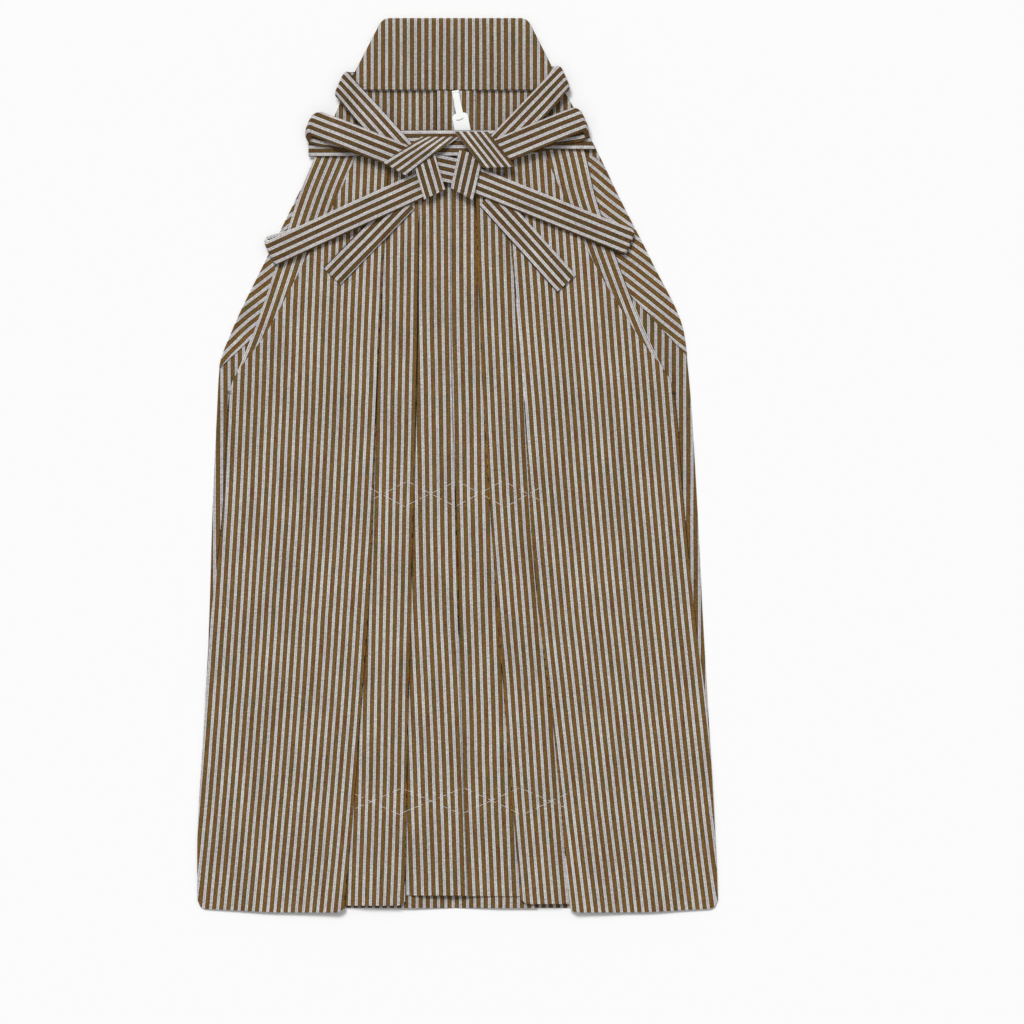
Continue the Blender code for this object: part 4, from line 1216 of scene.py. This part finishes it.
def tacks(surface, material):
    """Short stitches across the lower end of each side opening."""
    paths = []
    for x, lean in zip(TACK_PLACES, TACK_LEANS):
        for number in range(TACK_COUNT):
            y = STOP_Y - TACK_START - number * TACK_PITCH
            paths.append(stitch((x - TACK_LENGTH / 2, y), (x + TACK_LENGTH / 2, y + lean), surface))
    thread("opening_tacks", paths, THREAD_RADIUS, material, "striped_silk")


def seam_shadow_stitches(surface, material):
    """Dark stitches down each side seam from the opening's end, thick enough to paint the groove's shadow
    too.
    """
    paths = []
    for side, out in (("right", -1), ("left", 1)):
        y = STOP_Y - TACK_START - TACK_COUNT * TACK_PITCH
        while y > SEAM_END:
            start = (float(front_edge[side](y)) + out * SEAM_OUT, y)
            end = (float(front_edge[side](y - SEAM_STITCH)) + out * SEAM_OUT, y - SEAM_STITCH)
            paths.append(stitch(start, end, surface))
            y -= SEAM_STITCH + SEAM_GAP
    thread("side_seam_shadow_stitches", paths, SEAM_RADIUS, material, "striped_silk")


def opening_painted_highlights(surface, material):
    """White line along the lower part of each side opening's edge: a painted highlight where it catches the
    light.
    """
    paths = []
    for side, out in (("right", -1), ("left", 1)):
        path = []
        for y in np.linspace(OPENING_HIGHLIGHT_TOP[side], OPENING_HIGHLIGHT_END, OPENING_HIGHLIGHT_POINTS):
            x = float(opening_edge[side](y))
            path.append((x + out * OPENING_HIGHLIGHT_OUT, y, surface(x - out * OPENING_HIGHLIGHT_IN, y)))
        paths.append(path)
    thread("opening_painted_highlights", paths, OPENING_HIGHLIGHT_RADIUS, material, "striped_silk")


def spatula(material, dark, brown):
    """Moulded tongue, its small notch painted as a dark line of shade, and the stitches holding its neck.
    """
    outline = spaced([leaned(x, y) for x, y in spatula_outline()], SPATULA_SPACING)
    item = slab("spatula_moulding", outline, CENTRE_BED, SPATULA_THICKNESS, SPATULA_EDGE,
                SPATULA_CROWN, material)
    place_piece(item, "spatula_plastic", "spatula")
    top = CENTRE_BED + SPATULA_THICKNESS + NOTCH_RISE
    notch = []
    for k in range(NOTCH_STEPS + 1):
        share = k / NOTCH_STEPS
        x, y = (blend(*ends, share) for ends in zip(*NOTCH_ENDS))
        notch.append((x, y - NOTCH_SAG * math.sin(math.pi * share), top))
    dots = [[(x - NOTCH_DOT, y, top), (x, y, top), (x + NOTCH_DOT, y, top)] for x, y in NOTCH_ENDS]
    # The notch's groove: a dark tube lying on the surface, painted shade.
    thread("spatula_notch_painted_shade", [notch] + dots, NOTCH_WIDTH / 2, dark, "spatula_plastic")
    stitches = []
    for x in NECK_STITCHES:
        ends = (leaned(x - NECK_LEAN, NECK_FROM), leaned(x + NECK_LEAN, NECK_TO))
        stitches.append(stitch(*ends, lambda px, py: CENTRE_BED + SPATULA_THICKNESS))
    thread("spatula_stitches", stitches, THREAD_RADIUS, brown, "tie_silk")


def board_side(side, y):
    share = (y - BOARD_BOTTOM_Y) / (BOARD_TOP_Y - BOARD_BOTTOM_Y)
    index = 0 if side == "right" else 1
    return blend(BOARD_BOTTOM[index], BOARD_TOP[index], share)


def cloth_top(x, y):
    """Top of the garment's own cloth or board at a place, without the ties."""
    side = "right" if x < CENTRE_X else "left"
    if y > BOARD_BOTTOM_Y - BOARD_EDGE:
        inside = board_side("right", y) - REST_MARGIN < x < board_side("left", y) + REST_MARGIN
        return BOARD_THICKNESS if inside else 0.0
    out = 1 if side == "left" else -1
    if y > band_lower(x) - REST_MARGIN and y < WAIST_Y + REST_MARGIN:
        row = x - band_slant(x, y)
        if BAND_ENDS[0] - REST_MARGIN < row < BAND_ENDS[1] + REST_MARGIN:
            return band_heights(row)[1] + WALL / 2
    if y < WAIST_Y and (front_edge[side](y) - x) * out > -REST_MARGIN:
        return bed(x, y) + top_level(x, y) * LAYER + WALL
    if y < WAIST_Y and (opening_edge[side](y) - x) * out > -REST_MARGIN and y > STOP_Y:
        return bed(x, y) + WALL
    if (back_edge[side](y) - x) * out > -REST_MARGIN:
        reach = back_fold(y) + back_depth(y) + REST_MARGIN
        return 3 * LAYER if abs(x - CENTRE_X) < reach else 2 * LAYER
    return 0.0


placed_rows = []


def inside_cell(point, corners):
    """Whether a point lies in a four-cornered cell, seen from above."""
    signs = []
    for i, corner in enumerate(corners):
        after = corners[(i + 1) % 4]
        cross = (after.x - corner.x) * (point.y - corner.y) - (after.y - corner.y) * (point.x - corner.x)
        signs.append(cross >= 0)
    return all(signs) or not any(signs)


def stack_top(point):
    """Top of everything laid so far at a point seen from above."""
    top = cloth_top(point.x, point.y)
    for rows in placed_rows:
        for first, second in zip(rows, rows[1:]):
            if inside_cell(point, (first.a, first.b, second.b, second.a)):
                top = max(top, max(first.z, second.z) + TIE_THICKNESS / 2)
    return top


def settle(pairs):
    """Heights at which a tie's rows rest on the stack, eased along its length."""
    raw = []
    for a, b in pairs:
        tops = [stack_top(a + (b - a) * share) for share in TIE_PROBES]
        raw.append(float(max(tops)) + GAP + TIE_THICKNESS / 2)
    last = len(raw) - 1
    spread = [max(raw[max(0, i - 1)], raw[i], raw[min(last, i + 1)]) for i in range(len(raw))]
    eased = [spread[0]]
    for i in range(1, last):
        eased.append(max(spread[i], (spread[i - 1] + spread[i] + spread[i + 1]) / 3))
    eased.append(spread[last])
    rows = [Row(a, b, z) for (a, b), z in zip(pairs, eased)]
    placed_rows.append(rows)
    return rows


def strip_pairs(start, end, width, start_cut, end_cut):
    """Edge points of a straight stretch of tie, its ends turned to the given directions."""
    run = end - start
    count = max(2, round(run.length / TIE_STEP) + 1)
    across = Vector((-run.y, run.x)).normalized()
    pairs = []
    for i in range(count):
        share = i / (count - 1)
        centre = start.lerp(end, share)
        cut = start_cut.lerp(end_cut, share) if start_cut and end_cut else across
        if start_cut and not end_cut:
            cut = start_cut.lerp(across, float(smooth(share * 2)))
        if end_cut and not start_cut:
            cut = across.lerp(end_cut, float(smooth(share * 2 - 1)))
        cut = cut.normalized()
        reach = width / 2 / cut.dot(across)
        pairs.append((centre - cut * reach, centre + cut * reach))
    return pairs


def heading(degrees):
    angle = math.radians(degrees)
    return Vector((math.cos(angle), math.sin(angle)))


def refined(rows):
    """Rows with smooth ones put in between, as arrays of edge points and heights."""
    data = np.array([(r.a.x, r.a.y, r.b.x, r.b.y, r.z) for r in rows])
    padded = np.concatenate([2 * data[:1] - data[1:2], data, 2 * data[-1:] - data[-2:-1]])
    out = []
    for i in range(len(data) - 1):
        p0, p1, p2, p3 = padded[i:i + 4]
        gap = np.linalg.norm(p2[:4] - p1[:4]) / math.sqrt(2)
        pieces = TIE_FINE if gap > TIE_FINE_GAP else 1
        for k in range(pieces):
            t = k / pieces
            point = blend(p1, p2, t)
            if pieces > 1:
                z0, z1, z2, z3 = p0[4], p1[4], p2[4], p3[4]
                bend = (2 * z0 - 5 * z1 + 4 * z2 - z3) * t ** 2 + (3 * z1 - z0 - 3 * z2 + z3) * t ** 3
                point[4] = 0.5 * (2 * z1 + (z2 - z0) * t + bend)
            out.append(point)
    out.append(data[-1])
    return np.array(out)


def corner_pull(distance, half, radius):
    """How far a fold's round corner lies back from its tip, at a distance from the middle."""
    past = np.clip((np.abs(distance) - (half - radius)) / radius, 0, 1)
    return radius * (1 - np.sqrt(1 - past ** 2 * CORNER_LIMIT))


def tie_ring():
    """Section of a tie: share of its width, then offsets across and up, all the way round."""
    half = TIE_THICKNESS / 2
    turns = [math.pi * k / TIE_EDGE_STEPS for k in range(TIE_EDGE_STEPS + 1)]
    stations = [0.5 - 0.5 * math.cos(math.pi * i / TIE_ACROSS) for i in range(1, TIE_ACROSS)]
    ring = [(0.0, half * (1 - math.sin(turn)), -half * math.cos(turn)) for turn in turns]
    ring += [(station, 0.0, half) for station in stations]
    ring += [(1.0, -half * (1 - math.sin(turn)), half * math.cos(turn)) for turn in turns]
    return ring + [(station, 0.0, -half) for station in reversed(stations)]


def tie_strip(name, rows, shift, material, number, fold=None):
    """Folded tie as a soft flat strip: rounded edges and a faint rise and fall.

    A fold is a tip, the way in from it, and the radius of its corners.
    """
    data = refined(rows)
    a = data[:, [0, 1, 4]]
    b = data[:, [2, 3, 4]]
    middle = (a + b) / 2
    across = b - a
    width = np.linalg.norm(across, axis=1, keepdims=True)
    across /= width
    normal = np.cross(np.gradient(middle, axis=0), across)
    normal /= np.linalg.norm(normal, axis=1, keepdims=True)
    along = np.concatenate([[0], np.cumsum(np.linalg.norm(np.diff(middle, axis=0), axis=1))])
    points = []
    cloth = []
    for share, inset, up in tie_ring():
        place = a + across * (width * share + inset)
        if fold:
            tip, inward, radius = fold
            reach = (middle[:, :2] - tip) @ inward
            pull = corner_pull(width[:, 0] * (share - 0.5) + inset, width[:, 0] / 2, radius)
            pull *= clamp(1 - reach / (CORNER_FADE * radius))
            place[:, :2] += np.outer(pull, inward)
        swell = TIE_SOFT * math.sin(math.pi * share)
        swell = swell * (TIE_SWELL[0] + TIE_SWELL[1] * np.sin(along * TIE_SWELLS + number))
        rise = up + (swell if up > 0 else 0)
        points.append(place + normal * np.reshape(rise, (-1, 1)))
        u = width[:, 0] * (share - 0.5) + inset + shift + PERIOD / 2
        cloth.append(xyz(u, along, 7 + number))
    grid = np.stack(points, 1)
    faces = tube_faces(*grid.shape[:2])
    item = add_mesh(f"{name}_cloth", grid.reshape(-1, 3), faces, np.stack(cloth, 1), material)
    place_piece(item, "tie_silk", name)


def tie_stretch(stretch, material, number):
    start = Vector((stretch.x0, stretch.y0)) * MM
    end = Vector((stretch.x1, stretch.y1)) * MM
    cuts = [None if cut is None else heading(cut) for cut in (stretch.start_cut, stretch.end_cut)]
    rows = settle(strip_pairs(start, end, stretch.width * MM, *cuts))
    tie_strip(stretch.name, rows, stretch.shift * MM, material, number)


def tie_loop(loop, material, number):
    """Tie folded back over itself: lower run, open fold and upper run in one strip."""
    tip = Vector((loop.x, loop.y)) * MM
    upper_way = heading(loop.upper_heading)
    lower_way = heading(loop.lower_heading)
    inward = (upper_way + lower_way).normalized()
    fold_line = Vector((-inward.y, inward.x))
    lower_end_cut = fold_line if loop.lower_length * MM < TIE_WIDTH else None
    lower_end = tip + lower_way * loop.lower_length * MM
    hemward = fold_line if fold_line.y < 0 else -fold_line
    lower_pairs = []
    for a, b in strip_pairs(tip, lower_end, TIE_WIDTH, fold_line, lower_end_cut):
        along = ((a + b) / 2 - tip).length / (loop.slip_reach * MM)
        slip = hemward * loop.slip * MM * math.exp(-along * along)
        lower_pairs.append((a + slip, b + slip))
    lower = settle(lower_pairs)
    upper_end = tip + upper_way * loop.upper_length * MM
    upper = settle(strip_pairs(tip, upper_end, TIE_WIDTH, fold_line, None))
    clear_of_lower = lower[0].z + TIE_THICKNESS + GAP
    opened = []
    for i, row in enumerate(upper):
        height = max(row.z, clear_of_lower) if i < ROWS_OVER_FOLD else row.z
        opened.append(Row(row.a, row.b, height + loop.puff * MM * math.exp(-i / PUFF_REACH)))
    placed_rows[-1] = opened
    first, last = lower[0], opened[0]
    radius = (last.z - first.z) / 2
    bend = []
    for k in range(1, FOLD_SEGMENTS):
        turn = math.pi * k / FOLD_SEGMENTS
        share = (1 - math.cos(turn)) / 2
        shift = -inward * radius * math.sin(turn)
        a, b = first.a.lerp(last.a, share) + shift, first.b.lerp(last.b, share) + shift
        bend.append(Row(a, b, blend(first.z, last.z, share)))
    fold = (np.array(tip), np.array(inward), loop.corner * MM)
    tie_strip(loop.name, lower[::-1] + bend + opened, loop.shift * MM, material, number, fold)


def thread(name, paths, radius, material, slot):
    """Thin sewing thread as joined tubes along paths of points."""
    points = []
    faces = []
    turns = [2 * math.pi * k / THREAD_SIDES for k in range(THREAD_SIDES)]
    for path in paths:
        path = np.array(path)
        run = np.gradient(path, axis=0)
        run /= np.linalg.norm(run, axis=1, keepdims=True)
        side = np.cross(run, (0, 0, 1))
        side /= np.linalg.norm(side, axis=1, keepdims=True)
        up = np.cross(side, run)
        base = len(points)
        last = len(path) - 1
        for i, place in enumerate(path):
            size = radius * (0.5 if i in (0, last) else 1)
            points += [place + (side[i] * math.cos(turn) + up[i] * math.sin(turn)) * size for turn in turns]
        faces += [[base + corner for corner in face] for face in tube_faces(last + 1, THREAD_SIDES)]
    place_piece(add_mesh(name, np.array(points), faces, None, material), slot)


def basting_paths(row, surface):
    """Stretches of thread that show between the places where it dips through the cloth."""
    paths = []
    rng = np.random.default_rng(BASTING_SEED)
    stitches = round(row.half_period / STITCH_SPACING)
    for flip in (1, -1):
        for i in range(round((row.x1 - row.x0) / row.half_period)):
            x0 = row.x0 + i * row.half_period
            rise = flip * row.rise * (1 if i % 2 else -1)
            jitter = rng.uniform(-BASTING_JITTER, BASTING_JITTER, 4)
            begin = np.array((x0, row.y - rise)) + jitter[:2]
            finish = np.array((x0 + row.half_period, row.y + rise)) + jitter[2:]
            for s in range(stitches):
                shares = (s / stitches + STITCH_FROM, (s + STITCH_SHARE) / stitches)
                ends = [blend(begin, finish, share) * MM for share in shares]
                path = stitch(*ends, surface, BASTING_STEPS)
                if row.shown_from * MM < path[0][0] and path[-1][0] < row.shown_to * MM:
                    paths.append(path)
    return paths


def surface_of(*items):
    """Function that gives the height of the uppermost of these pieces at a place."""
    trees = []
    for item in items:
        points = [v.co.copy() for v in item.data.vertices]
        trees.append(BVHTree.FromPolygons(points, [tuple(p.vertices) for p in item.data.polygons]))

    def height(x, y):
        hits = [tree.ray_cast(Vector((x, y, ABOVE_ALL)), Vector((0, 0, -1)))[0] for tree in trees]
        return max([0.0] + [hit.z for hit in hits if hit is not None])

    return height


def add_object(name, data):
    item = bpy.data.objects.new(name, data)
    bpy.context.scene.collection.objects.link(item)
    return item


def studio():
    """Pale floor, a broad soft light from past the waist, and the photograph's view."""
    mesh = bpy.data.meshes.new("floor")
    corners = [(-1, -1), (1, -1), (1, 1), (-1, 1)]
    mesh.from_pydata([(x * FLOOR_REACH, y * FLOOR_REACH, FLOOR_Z) for x, y in corners], [], [(0, 1, 2, 3)])
    g = Graph("pale_floor")
    g.shader.inputs["Base Color"].default_value = (*FLOOR_COLOUR, 1)
    g.shader.inputs["Roughness"].default_value = FLOOR_ROUGHNESS
    g.shader.inputs["Specular IOR Level"].default_value = FLOOR_SPECULAR
    mesh.materials.append(g.material)
    floor = add_object("floor", mesh)

    scene = bpy.context.scene
    scene.world = bpy.data.worlds.new("studio")
    scene.world.use_nodes = True
    background = scene.world.node_tree.nodes["Background"]
    background.inputs["Color"].default_value = (1, 1, 1, 1)
    background.inputs["Strength"].default_value = WORLD_LIGHT

    light = bpy.data.lights.new("soft_light", "SUN")
    light.angle = math.radians(LIGHT_ANGLE)
    light.energy = LIGHT_POWER
    lamp = add_object("soft_light", light)
    lamp.rotation_euler = (-Vector(LIGHT_FROM)).to_track_quat("-Z", "Y").to_euler()

    view = bpy.data.cameras.new("camera")
    view.lens = LENS
    view.sensor_width = SENSOR
    view.clip_end = VIEW_END
    camera = add_object("camera", view)
    camera.location = (*VIEW_CENTRE, VIEW_PLANE + VIEW_SIDE * LENS / SENSOR)
    scene.camera = camera
    scene.view_settings.view_transform = "Standard"


def main():
    studio()
    cloth = silk("striped_silk")
    # A darker copy of the silk for the back legs and the board: painted shade.
    inner_cloth_painted_shade = silk("striped_silk_inside_painted_shade", painted_shade_factor=INNER_PAINTED_SHADE)
    # The ties' silk, with dark stripes darkened as painted shade of the shadows along their edges.
    tie_cloth = silk("tie_silk", depth=TIE_PAINTED_SHADE_DEPTH, lift=TIE_LIFT)
    white = plastic("white_plastic")
    basting = cotton("white_cotton_and_highlight", WHITE_COTTON_AND_HIGHLIGHT)
    dark = cotton("dark_thread_and_painted_shade", DARK_THREAD_AND_SHADE)
    brown = cotton("brown_cotton", BROWN_COTTON)
    fronts = []
    backs = []
    leaves = []
    for side in ("right", "left"):
        backs.append(back_leg(side, inner_cloth_painted_shade))
        turn_in(side, cloth)
        fronts.append(front_leg(side, cloth))
        leaves.append(leaf_pleat(side, cloth))
    waistband(tie_cloth)
    back_board(inner_cloth_painted_shade)
    spatula(white, dark, brown)
    ties = TAILS + LOOPS_BELOW + LOOPS_AT_WAIST + (KNOT_CENTRE,) + KNOT_HANGING + KNOT_WRAPS
    for number, tie in enumerate(ties, 1):
        lay = tie_loop if isinstance(tie, Loop) else tie_stretch
        lay(tie, tie_cloth, number)
    tacks(surface_of(*fronts, *backs), dark)
    # White tubes along the openings' edges: painted highlight.
    opening_painted_highlights(surface_of(*leaves), basting)
    seam_shadow_stitches(surface_of(*backs), dark)
    surface = surface_of(*fronts)
    for number, row in enumerate(BASTING, 1):
        paths = basting_paths(row, surface)
        thread(f"basting_thread_{number}", paths, THREAD_RADIUS, basting, "striped_silk")


main()
